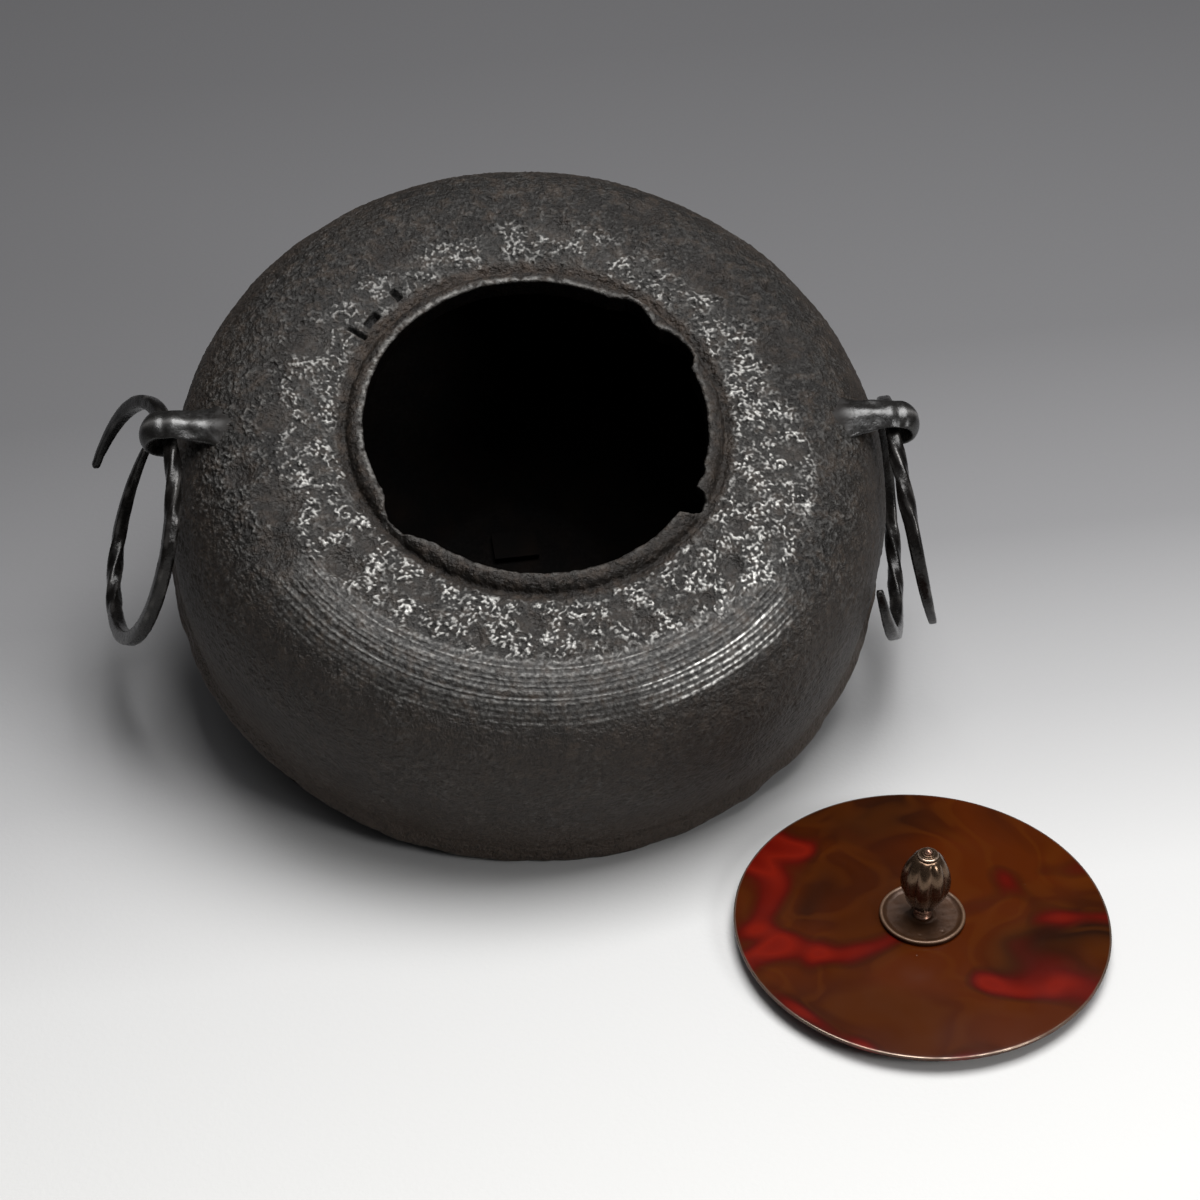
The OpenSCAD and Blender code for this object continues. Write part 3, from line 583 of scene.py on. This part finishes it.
def ring(name, side, node, tips, hold, twists, yaw, hang):
    """Hand-forged open ring: a square bar, twisted in two stretches and drawn out at its tips."""
    yaw, hang = math.radians(yaw), math.radians(hang)
    flat = np.array([side * math.cos(yaw), -math.sin(yaw), 0])
    along = np.array([-side * math.sin(yaw), -math.cos(yaw), 0])
    up = np.array([0, 0, math.cos(hang)]) - math.sin(hang) * flat
    axis = math.cos(hang) * flat + np.array([0, 0, math.sin(hang)])
    a = math.radians(LUG_AZIMUTH[side])
    eye = posed(np.array([EYE_OUT * math.cos(a), EYE_OUT * math.sin(a), EYE_Z - BAR_DROP]))
    held = math.sin(math.radians(hold)) * along + math.cos(math.radians(hold)) * up
    rows, columns = 420, 24
    t = np.linspace(tips[0], tips[1], rows)
    out = np.sin(np.radians(t))[:, None] * along + np.cos(np.radians(t))[:, None] * up
    middle = eye + RING_R * (out - held) + (side * RING_SPLAY * (t - hold) / 360)[:, None] * axis
    q = np.radians(np.arange(columns) * 360 / columns)
    square = 1 / (np.abs(np.cos(q)) ** SQUARENESS + np.abs(np.sin(q)) ** SQUARENESS) ** (1 / SQUARENESS)
    cx, cy = square * np.cos(q), square * np.sin(q)
    turn = np.radians(bar_turn(twists, t))[:, None]
    end = np.clip(np.minimum(t - tips[0], tips[1] - t) / TIP_ROUND, 0, 1)
    half = bar_half(tips, t) * np.sqrt(np.clip(1 - (1 - end) ** 2, 0.03, 1))
    x = cx * np.cos(turn) - cy * np.sin(turn)
    y = cx * np.sin(turn) + cy * np.cos(turn)
    offset = x[..., None] * out[:, None, :] + y[..., None] * axis
    p = middle[:, None, :] + half[:, None, None] * offset
    hammered = -RING_HAMMER * np.clip(noise(p, 5.0, 101 + side), 0, 1)
    hammered = hammered - RING_GRAIN * np.abs(noise(p, 1.6, 103 + side))
    p = p + hammered[..., None] * offset
    # Light bar edges: partly rubbed iron, partly painted highlight
    wear_and_highlight = smooth(1.06, 1.2, square) * smooth(-0.3, 0.6, noise(p, 6.0, 105))
    obj = mesh_object(name, p, grid_faces(rows, columns, close_rows=False), {"wear_and_highlight": wear_and_highlight})
    close_ends(obj, rows, columns)
    return give(obj, node, [node])


# Lid and knob

# Height of the slow waves on top of the lid
LID_WAVE_H = 0.03
# Two small pits in the knob's seat: azimuths, distance from the axis, depth
SEAT_PITS, SEAT_PIT_R, SEAT_PIT_DEPTH = (250, 296), 10.2, 0.14
# Power of the bud's curve, which makes it fuller low down than the solid
BUD_SWELL = 0.66


def lid_turned(name, profile, columns, nodes, shape=None, marks=None):
    """A closed (r, z) profile turned about the lid's axis, then shaped, with marks from the profile."""
    profile = np.asarray(profile, float)
    a = np.radians(np.arange(columns) * 360 / columns)[None, :]
    r, z = profile[:, :1] + 0 * a, profile[:, 1:] + 0 * a
    attributes = {key: mark(r, z) for key, mark in (marks or {}).items()}
    if shape is not None:
        r, z = shape(r, z, a + 0 * r)
    p = np.stack([r * np.cos(a) + LID_AT[0], r * np.sin(a) + LID_AT[1], z], -1)
    obj = mesh_object(name, p, grid_faces(*r.shape, close_rows=True), attributes)
    return give(obj, "lid", nodes)


def lid_plate():
    """Thin plate, its top a low dome with a narrow bevel at the rim, painted light as rubbed bronze and
    painted highlight.
    """
    bevel = 0.8
    top = np.linspace(LID_R - bevel, BORE_R, 60)
    dome = np.c_[top, RIM_TOP_Z + LID_DOME * (1 - (top / LID_R) ** 2)]
    rim_z = dome[0, 1]
    rim = [(LID_R - 0.5, FLANGE_H), (LID_R - 0.12, FLANGE_H + 0.12), (LID_R, FLANGE_H + 0.45),
           (LID_R, rim_z - 0.45), (LID_R - 0.1, rim_z - 0.2), (LID_R - 0.3, rim_z - 0.06)]
    under = np.c_[np.linspace(BORE_R, LID_R - 2.0, 20), np.full(20, FLANGE_H)]

    def wavy(r, z, a):
        p = np.stack([r * np.cos(a), r * np.sin(a), 0 * r], -1)
        on_top = smooth(RIM_TOP_Z - 0.1, RIM_TOP_Z + 0.1, z)
        return r, z + on_top * LID_WAVE_H * noise(p, 24.0, 111)

    # Light rim: rubbed bronze and painted highlight
    def rim_wear_and_highlight(r, z):
        return smooth(LID_R - 0.75, LID_R - 0.25, r) * smooth(rim_z - 0.6, rim_z - 0.25, z)

    profile = np.concatenate([under, rim, dome])
    return lid_turned("lid_disc", profile, 360, ["lid_plate"], wavy, {"wear_and_highlight": rim_wear_and_highlight})


def knob_seat():
    """Dished washer with a raised rim and two small pits."""
    r, t, z = KNOB_SEAT_R, KNOB_SEAT_T, LID_TOP_Z
    profile = spread([(BORE_R, z), (r - 0.6, z), (r - 0.15, z + 0.25), (r, z + 0.6), (r, z + t + 0.15),
                      (r - 0.25, z + t + 0.5), (r - 0.7, z + t + 0.6), (r - 1.2, z + t + 0.4),
                      (r - 1.8, z + t), (r - 2.6, z + t - 0.3), (NECK_R + 2.2, z + t - 0.3),
                      (NECK_R + 1.6, z + t - 0.12), (NECK_R + 1.2, z + t), (BORE_R, z + t)], 0.28)

    def pitted(rr, zz, a):
        x, y = rr * np.cos(a), rr * np.sin(a)
        on_top = smooth(z + 0.6, z + 0.85, zz) * smooth(NECK_R + 1.6, NECK_R + 2.4, rr)
        lower = 0.05 * noise(np.stack([x, y, 0 * x], -1), 2.5, 121)
        for at in SEAT_PITS:
            turn = math.radians(at)
            d = np.hypot(x - SEAT_PIT_R * math.cos(turn), y - SEAT_PIT_R * math.sin(turn))
            lower -= SEAT_PIT_DEPTH * smooth(0.8, 0.2, d)
        return rr, zz + on_top * lower

    # Light rim of the seat: handling and painted highlight
    def rim_wear_and_highlight(rr, zz):
        return smooth(r - 1.3, r - 0.8, rr) * smooth(z + t, z + t + 0.35, zz)

    return lid_turned("knob_saucer", profile, 180, ["knob_seat"], pitted, {"wear_and_highlight": rim_wear_and_highlight})


def knob_neck():
    """Short waisted neck with a bead under the bud."""
    r, z, h = NECK_R, SEAT_TOP_Z, NECK_H
    profile = spread([(BORE_R, z), (r + 0.6, z), (r + 0.62, z + 0.2), (r + 0.5, z + 0.4),
                      (r + 0.1, z + 0.7), (r - 0.2, z + h * 0.4), (r, z + h - 1.7), (r + 0.4, z + h - 1.4),
                      (r + 0.62, z + h - 1.0), (r + 0.55, z + h - 0.6), (r + 0.2, z + h),
                      (BORE_R, z + h)], 0.14)
    return lid_turned("knob_stem", profile, 96, ["knob_neck"])


def knob_bud():
    """Bud with eight flutes, fullest near its middle."""
    part = np.linspace(0, 1, 90)
    sag = BUD_R - (BUD_LOW_R + BUD_TOP_R) / 2
    swell = np.maximum(0, np.sin(math.pi * part)) ** BUD_SWELL
    radius = BUD_LOW_R + (BUD_TOP_R - BUD_LOW_R) * part + sag * swell
    inside = [(BORE_R, BUD_Z + BUD_H), (BORE_R, BUD_Z)]
    profile = np.concatenate([np.c_[radius, BUD_Z + BUD_H * part], inside])

    def fluted(r, z, a):
        fade = np.sin(math.pi * np.clip((z - BUD_Z) / BUD_H, 0, 1)) ** 0.7
        depth = FLUTE_D * fade * (1 - np.abs(np.sin(FLUTES * a / 2)) ** 0.9)
        return r - np.where(r > BORE_R + 0.1, depth, 0), z

    return lid_turned("knob_melon", profile, 256, ["knob_bud"], fluted)


def knob_cap():
    """Flat cap with a small boss round the end of the rivet."""
    r, h, z, s = CAP_R, CAP_H, CAP_Z, BOSS_R
    top = z + h + BOSS_H
    profile = spread([(BORE_R, z), (r - 0.2, z), (r, z + 0.2), (r, z + h - 0.35), (r - 0.12, z + h - 0.1),
                      (r - 0.4, z + h), (s + 0.15, z + h), (s, z + h + 0.15), (s, top - 0.25),
                      (s - 0.1, top - 0.06), (s - 0.25, top), (BORE_R, top)], 0.12)

    # Light rim of the cap: handling and painted highlight
    def rim_wear_and_highlight(rr, zz):
        return smooth(r - 0.5, r - 0.2, rr) * smooth(z + h - 0.4, z + h - 0.15, zz)

    return lid_turned("knob_finial", profile, 96, ["knob_cap"], marks={"wear_and_highlight": rim_wear_and_highlight})


# Materials

def new_material(name):
    """A material, its node tree and the shader in it."""
    material = bpy.data.materials.new(name)
    material.use_nodes = True
    tree = material.node_tree
    return material, tree, tree.nodes["Principled BSDF"]


def put(tree, socket, value):
    """Links an output to a socket, or sets the socket's own value."""
    if isinstance(value, bpy.types.NodeSocket):
        tree.links.new(value, socket)
    elif isinstance(value, tuple) and len(value) == 3 and socket.type == "RGBA":
        socket.default_value = (*value, 1)
    else:
        socket.default_value = value


def add(tree, kind, **inputs):
    """A node with its named inputs set or linked."""
    node = tree.nodes.new(kind)
    for key, value in inputs.items():
        put(tree, node.inputs[key.replace("_", " ")], value)
    return node


def attribute(tree, name):
    """A mark that the mesh carries, 0 where it has none."""
    node = tree.nodes.new("ShaderNodeAttribute")
    node.attribute_name = name
    return node.outputs["Fac"]


def texture_noise(tree, scale, detail=4.0, roughness=0.55, place=None):
    """Noise from 0 to 1 over the object's own coordinates, or over a given place."""
    if place is None:
        place = tree.nodes.new("ShaderNodeTexCoord").outputs["Object"]
    node = add(tree, "ShaderNodeTexNoise", Vector=place, Scale=scale, Detail=detail, Roughness=roughness)
    return node.outputs["Fac"]


def ramp(tree, fac, *stops):
    """Colour ramp of (position, colour) stops."""
    node = add(tree, "ShaderNodeValToRGB", Fac=fac)
    elements = node.color_ramp.elements
    while len(elements) < len(stops):
        elements.new(0.5)
    for element, (place, colour) in zip(elements, stops):
        element.position = place
        element.color = (*colour, 1)
    return node.outputs["Color"]


def level(tree, value, low, high, to_low=0.0, to_high=1.0):
    """A value carried from one range to another and kept inside it."""
    node = add(tree, "ShaderNodeMapRange", Value=value, From_Min=low, From_Max=high,
               To_Min=to_low, To_Max=to_high)
    return node.outputs["Result"]


def combine(tree, operation, a, b):
    """Result of a Math node on two values."""
    node = tree.nodes.new("ShaderNodeMath")
    node.operation = operation
    put(tree, node.inputs[0], a)
    put(tree, node.inputs[1], b)
    return node.outputs["Value"]


def mix(tree, fac, a, b):
    """Colour a where fac is 0, colour b where it is 1."""
    node = tree.nodes.new("ShaderNodeMix")
    node.data_type = "RGBA"
    for place, value in ((0, fac), (6, a), (7, b)):
        put(tree, node.inputs[place], value)
    return node.outputs[2]


def bump(tree, shader, height, distance, strength):
    """Fine surface grain on the shader."""
    node = add(tree, "ShaderNodeBump", Height=height, Strength=strength, Distance=distance)
    tree.links.new(node.outputs["Normal"], shader.inputs["Normal"])


def soot_tone(tree, fac):
    """Soot of the kettle's inside."""
    return ramp(tree, fac, (0.4, (0.0019, 0.0016, 0.0015)), (0.75, (0.0047, 0.0031, 0.0023)))


def cast_iron(name):
    """Pitted brown-black iron, bright where the mesh marks rubbed peaks and painted highlight, sooty inside.
    """
    material, tree, shader = new_material(name)
    fine, mid, broad = texture_noise(tree, 900, 3), texture_noise(tree, 230, 5), texture_noise(tree, 24, 4)
    base = ramp(tree, broad, (0.30, (0.0070, 0.0062, 0.0055)), (0.52, (0.0098, 0.0084, 0.0073)),
                (0.75, (0.0142, 0.0115, 0.0095)))
    # Lighter brown low on the wall: own tone and painted bounce light
    base = mix(tree, attribute(tree, "brown_and_bounce_light"), base, (0.054, 0.040, 0.0310))
    base = mix(tree, level(tree, mid, 0.48, 0.72, 0.0, 0.7), base, (0.046, 0.034, 0.0255))
    base = mix(tree, level(tree, fine, 0.52, 0.68, 0.0, 0.7), base, (0.006, 0.005, 0.0045))
    rust = combine(tree, "MULTIPLY", attribute(tree, "rust"), level(tree, mid, 0.3, 0.7, 0.1, 0.8))
    base = mix(tree, rust, base, (0.050, 0.036, 0.027))
    # Near-black in the marked hollows, and painted shadow in the short cuts
    base = mix(tree, combine(tree, "MULTIPLY", attribute(tree, "dark_hollows_and_cut_shadow"), 0.9), base, (0.0035, 0.003, 0.003))
    # Near-white on the marked peaks: rubbed iron and painted highlight
    wear_and_highlight = combine(tree, "MULTIPLY", attribute(tree, "wear_and_highlight"), level(tree, fine, 0.3, 0.6, 0.4, 1.0))
    base = mix(tree, wear_and_highlight, base, (0.80, 0.785, 0.75))
    inside = attribute(tree, "inside")
    put(tree, shader.inputs["Base Color"], mix(tree, inside, base, soot_tone(tree, mid)))
    put(tree, shader.inputs["Roughness"], level(tree, wear_and_highlight, 0, 1, 0.47, 0.36))
    put(tree, shader.inputs["Metallic"], level(tree, wear_and_highlight, 0, 1, 0.05, 0.6))
    put(tree, shader.inputs["Specular IOR Level"], level(tree, inside, 0, 1, 0.27, 0.05))
    strength = level(tree, attribute(tree, "lined"), 0, 1, 1, 0.4)
    bump(tree, shader, combine(tree, "ADD", fine, mid), 0.0012, strength)
    return material


def sooty_iron(name, dark, light):
    """Smooth iron of the bottom, black with soot on the inside."""
    material, tree, shader = new_material(name)
    fine, mid = texture_noise(tree, 800, 3), texture_noise(tree, 90, 5)
    base = ramp(tree, mid, (0.35, dark), (0.7, light))
    inside = attribute(tree, "inside")
    put(tree, shader.inputs["Base Color"], mix(tree, inside, base, soot_tone(tree, mid)))
    put(tree, shader.inputs["Roughness"], level(tree, fine, 0.3, 0.7, 0.55, 0.75))
    put(tree, shader.inputs["Specular IOR Level"], level(tree, inside, 0, 1, 0.4, 0.03))
    bump(tree, shader, combine(tree, "ADD", fine, mid), 0.0003, 0.5)
    return material


def soot(name):
    """Soot and scale on the plates inside."""
    material, tree, shader = new_material(name)
    mid = texture_noise(tree, 90, 5)
    tone = ramp(tree, mid, (0.4, (0.0027, 0.0023, 0.0022)), (0.75, (0.006, 0.0043, 0.0035)))
    put(tree, shader.inputs["Base Color"], tone)
    put(tree, shader.inputs["Roughness"], level(tree, mid, 0.3, 0.7, 0.8, 0.95))
    shader.inputs["Specular IOR Level"].default_value = 0.05
    bump(tree, shader, mid, 0.0004, 0.5)
    return material


def iron_with_wear_and_highlight(name, dark, light, wear_and_highlight_colour, rough, metallic, specular):
    """Iron with a mottled tone, lighter along its edges where the mesh says so, as rubbed iron and painted
    highlight, and dull at its root where the mesh says so.
    """
    material, tree, shader = new_material(name)
    fine, mid = texture_noise(tree, 800, 3), texture_noise(tree, 120, 5)
    base = ramp(tree, mid, (0.35, dark), (0.7, light))
    wear_and_highlight = combine(tree, "MULTIPLY", attribute(tree, "wear_and_highlight"), level(tree, mid, 0.35, 0.6, 0.25, 1.0))
    rooted = attribute(tree, "rooted")
    base = mix(tree, rooted, base, (0.010, 0.0085, 0.0075))
    put(tree, shader.inputs["Base Color"], mix(tree, wear_and_highlight, base, wear_and_highlight_colour))
    sheen = level(tree, fine, 0.3, 0.7, rough - 0.08, rough + 0.1)
    dull = combine(tree, "MULTIPLY", rooted, 0.6)
    put(tree, shader.inputs["Roughness"], combine(tree, "MAXIMUM", sheen, dull))
    shader.inputs["Metallic"].default_value = metallic
    put(tree, shader.inputs["Specular IOR Level"], level(tree, rooted, 0, 1, specular, 0.2))
    bump(tree, shader, combine(tree, "ADD", fine, mid), 0.0003, 0.4)
    return material


def lacquer(name):
    """Dark brown lacquer, half glossy."""
    material, tree, shader = new_material(name)
    mid = texture_noise(tree, 120, 4)
    tone = ramp(tree, mid, (0.35, (0.012, 0.008, 0.007)), (0.7, (0.03, 0.015, 0.01)))
    put(tree, shader.inputs["Base Color"], tone)
    put(tree, shader.inputs["Roughness"], level(tree, mid, 0.3, 0.7, 0.3, 0.5))
    bump(tree, shader, mid, 0.0004, 0.5)
    return material


def lid_bronze(name):
    """Heat-coloured bronze: orange-brown ground, soft red clouds with bright cores, ochre streaks."""
    material, tree, shader = new_material(name)
    place = tree.nodes.new("ShaderNodeTexCoord").outputs["Object"]
    swirl = add(tree, "ShaderNodeTexNoise", Vector=place, Scale=18.0, Detail=1.5).outputs["Color"]
    bend = tree.nodes.new("ShaderNodeVectorMath")
    bend.operation = "MULTIPLY_ADD"
    put(tree, bend.inputs[0], swirl)
    bend.inputs[1].default_value = (0.11, 0.11, 0.0)
    put(tree, bend.inputs[2], place)
    bent = bend.outputs["Vector"]
    ground = texture_noise(tree, 15, 2, 0.4, bent)
    clouds = texture_noise(tree, 27, 1.0, 0.3, bent)
    streaks = texture_noise(tree, 38, 1.5, 0.4, bent)
    base = ramp(tree, ground, (0.38, (0.014, 0.0038, 0.0012)), (0.48, (0.034, 0.0062, 0.0008)),
                (0.60, (0.053, 0.0092, 0.0008)))
    base = mix(tree, level(tree, streaks, 0.58, 0.68, 0.0, 0.4), base, (0.062, 0.0155, 0.0012))
    off_line = combine(tree, "SUBTRACT", streaks, 0.5)
    vein = level(tree, combine(tree, "MULTIPLY", off_line, off_line), 0.0022, 0.0, 0.0, 0.3)
    base = mix(tree, vein, base, (0.068, 0.0165, 0.0014))
    red = ramp(tree, clouds, (0.54, (0.018, 0.0035, 0.0014)), (0.60, (0.052, 0.0026, 0.0012)),
               (0.66, (0.122, 0.0058, 0.0020)), (0.76, (0.070, 0.0022, 0.0010)))
    base = mix(tree, level(tree, clouds, 0.51, 0.61, 0.0, 1.0), base, red)
    cell = add(tree, "ShaderNodeTexVoronoi", Vector=place, Scale=95.0)
    base = mix(tree, level(tree, cell.outputs["Distance"], 0.022, 0.012, 0.0, 0.3), base, (0.5, 0.42, 0.36))
    uneven = level(tree, texture_noise(tree, 140, 3), 0.35, 0.6, 0.3, 0.9)
    # Light rim on the lid: rubbed bronze and painted highlight
    wear_and_highlight = combine(tree, "MULTIPLY", attribute(tree, "wear_and_highlight"), uneven)
    put(tree, shader.inputs["Base Color"], mix(tree, wear_and_highlight, base, (0.24, 0.19, 0.15)))
    put(tree, shader.inputs["Metallic"], wear_and_highlight)
    put(tree, shader.inputs["Roughness"], level(tree, texture_noise(tree, 60, 3), 0.3, 0.7, 0.20, 0.27))
    shader.inputs["Specular IOR Level"].default_value = 0.11
    shader.inputs["Coat Weight"].default_value = 0.03
    shader.inputs["Coat Roughness"].default_value = 0.1
    bump(tree, shader, texture_noise(tree, 45, 2), 0.0001, 0.05)
    return material


def knob_metal(name, dark, light, wear_and_highlight_colour, rough, metallic=0.85):
    """Brown bronze, bright on its rims where the mesh says so: handling, and painted highlight."""
    material, tree, shader = new_material(name)
    mid, fine = texture_noise(tree, 260, 5), texture_noise(tree, 1400, 2)
    base = ramp(tree, mid, (0.3, dark), (0.7, light))
    put(tree, shader.inputs["Base Color"], mix(tree, attribute(tree, "wear_and_highlight"), base, wear_and_highlight_colour))
    put(tree, shader.inputs["Roughness"], level(tree, fine, 0.3, 0.7, rough - 0.06, rough + 0.1))
    shader.inputs["Metallic"].default_value = metallic
    bump(tree, shader, fine, 0.00004, 0.2)
    return material


# Pieces and their finish

iron = cast_iron("old_cast_iron")
bottom_iron = sooty_iron("bottom_iron", (0.018, 0.015, 0.014), (0.042, 0.032, 0.027))
plate_iron = soot("plate_iron")
lug_iron = iron_with_wear_and_highlight("lug_iron", (0.006, 0.0057, 0.0054), (0.015, 0.0141, 0.0134), (0.11, 0.107, 0.104),
                     rough=0.28, metallic=0.1, specular=0.5)
ring_iron = iron_with_wear_and_highlight("forged_iron", (0.0045, 0.0040, 0.0037), (0.012, 0.0105, 0.0096), (0.07, 0.066, 0.063),
                      rough=0.24, metallic=0.4, specular=0.4)
seam = lacquer("seam_lacquer")
patina = lid_bronze("lid_bronze")
# Darker bronze for the lid's flange and the washer under it: painted shade under the lid
shaded_flange_metal = knob_metal("flange_bronze", (0.03, 0.012, 0.008), (0.07, 0.03, 0.018), (0.2, 0.1, 0.06),
                          rough=0.4)
knob_bronze = knob_metal("knob_bronze", (0.075, 0.046, 0.028), (0.14, 0.088, 0.056), (0.45, 0.34, 0.26),
                         rough=0.20)
seat_bronze = knob_metal("seat_bronze", (0.036, 0.015, 0.006), (0.060, 0.026, 0.011), (0.13, 0.075, 0.045),
                         rough=0.36, metallic=0.4)
knob_copper = knob_metal("knob_copper", (0.22, 0.11, 0.075), (0.42, 0.25, 0.18), (0.5, 0.36, 0.29),
                         rough=0.28)

pieces = [
    (kettle_body(), iron),
    (kettle_bottom(), bottom_iron),
    (lug("lug_left", -1, "left_lug"), lug_iron),
    (lug("lug_right", 1, "right_lug"), lug_iron),
    (ring("ring_left", -1, "left_ring", tips=(-99, 278), hold=10.6, twists=(32, 206), yaw=6.6, hang=22.9),
     ring_iron),
    (ring("ring_right", 1, "right_ring", tips=(-270, 122), hold=2.6, twists=(-150, 36), yaw=10.9, hang=10.5),
     ring_iron),
    (lid_plate(), patina),
    (knob_seat(), seat_bronze),
    (knob_neck(), knob_copper),
    (knob_bud(), knob_bronze),
    (knob_cap(), knob_bronze),
]
for obj, material in pieces:
    obj.data.materials.append(material)

# Solids that show as they are
kept = {"seam_lacquer": seam, "lid_flange": shaded_flange_metal, "under_washer": shaded_flange_metal,
        "knob_pin": knob_copper}
for i in (1, 2, 3):
    kept[f"lacquer_bed_{i}"] = seam
    kept[f"sounding_iron_{i}"] = plate_iron
for node, material in kept.items():
    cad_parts[node].data.materials.clear()
    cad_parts[node].data.materials.append(material)


# Stage, light and camera

def stage():
    """Pale paper floor, its colour darkened towards the back as painted shade where the light falls off."""
    size = 6.0
    mesh = bpy.data.meshes.new("floor")
    corners = [(-size, -size, 0), (size, -size, 0), (size, size, 0), (-size, size, 0)]
    mesh.from_pydata(corners, [], [(0, 1, 2, 3)])
    floor = bpy.data.objects.new("floor", mesh)
    bpy.context.scene.collection.objects.link(floor)
    material, tree, shader = new_material("floor_paper")
    place = tree.nodes.new("ShaderNodeTexCoord").outputs["Object"]
    depth = add(tree, "ShaderNodeSeparateXYZ", Vector=place).outputs["Y"]
    # Painted shade: the floor's colour falls from pale at the front to dark at the back
    tone = ramp(tree, level(tree, depth, -0.25, 0.55), (0.03, (0.63, 0.627, 0.615)),
                (0.19, (0.55, 0.548, 0.543)), (0.31, (0.37, 0.368, 0.37)), (0.44, (0.215, 0.214, 0.218)),
                (0.62, (0.145, 0.144, 0.148)), (1.0, (0.118, 0.117, 0.121)))
    put(tree, shader.inputs["Base Color"], tone)
    put(tree, shader.inputs["Roughness"], level(tree, texture_noise(tree, 500, 3), 0.3, 0.7, 0.85, 0.95))
    shader.inputs["Specular IOR Level"].default_value = 0.1
    bump(tree, shader, texture_noise(tree, 500, 3), 0.0003, 0.3)
    mesh.materials.append(material)


def area_light(name, place, target, size, power):
    """Soft rectangular lamp aimed at a target."""
    light = bpy.data.lights.new(name, "AREA")
    light.shape = "RECTANGLE"
    light.size, light.size_y = size
    light.energy = power
    obj = bpy.data.objects.new(name, light)
    obj.location = place
    obj.rotation_euler = (Vector(target) - Vector(place)).to_track_quat("-Z", "Y").to_euler()
    bpy.context.scene.collection.objects.link(obj)


def studio_world():
    """Even light from above that falls off to a dark horizon."""
    world = bpy.data.worlds.new("studio")
    world.use_nodes = True
    tree = world.node_tree
    direction = tree.nodes.new("ShaderNodeTexCoord").outputs["Generated"]
    height = add(tree, "ShaderNodeSeparateXYZ", Vector=direction).outputs["Z"]
    tone = ramp(tree, height, (0.72, (0.035, 0.035, 0.036)), (0.97, (0.5, 0.5, 0.51)))
    put(tree, tree.nodes["Background"].inputs["Color"], tone)
    bpy.context.scene.world = world


def camera(place, target, lens):
    """Camera fitted to the photograph's viewpoint."""
    data = bpy.data.cameras.new("camera")
    data.lens, data.sensor_width = lens, 36.0
    obj = bpy.data.objects.new("camera", data)
    obj.location = place
    obj.rotation_euler = (Vector(target) - Vector(place)).to_track_quat("-Z", "Y").to_euler()
    bpy.context.scene.collection.objects.link(obj)
    bpy.context.scene.camera = obj


stage()
area_light("overhead", (0.25, 0.05, 1.35), (0.0, 0.0, 0.0), size=(0.9, 0.9), power=27.0)
area_light("right_front", (0.85, -0.95, 0.70), (0.0, 0.0, 0.08), size=(0.35, 0.35), power=6.0)
studio_world()
bpy.context.scene.view_settings.view_transform = "Standard"
camera(place=(-0.12466, -0.75737, 0.6596), target=(0.02499, 0.08431, 0.0), lens=83.13)
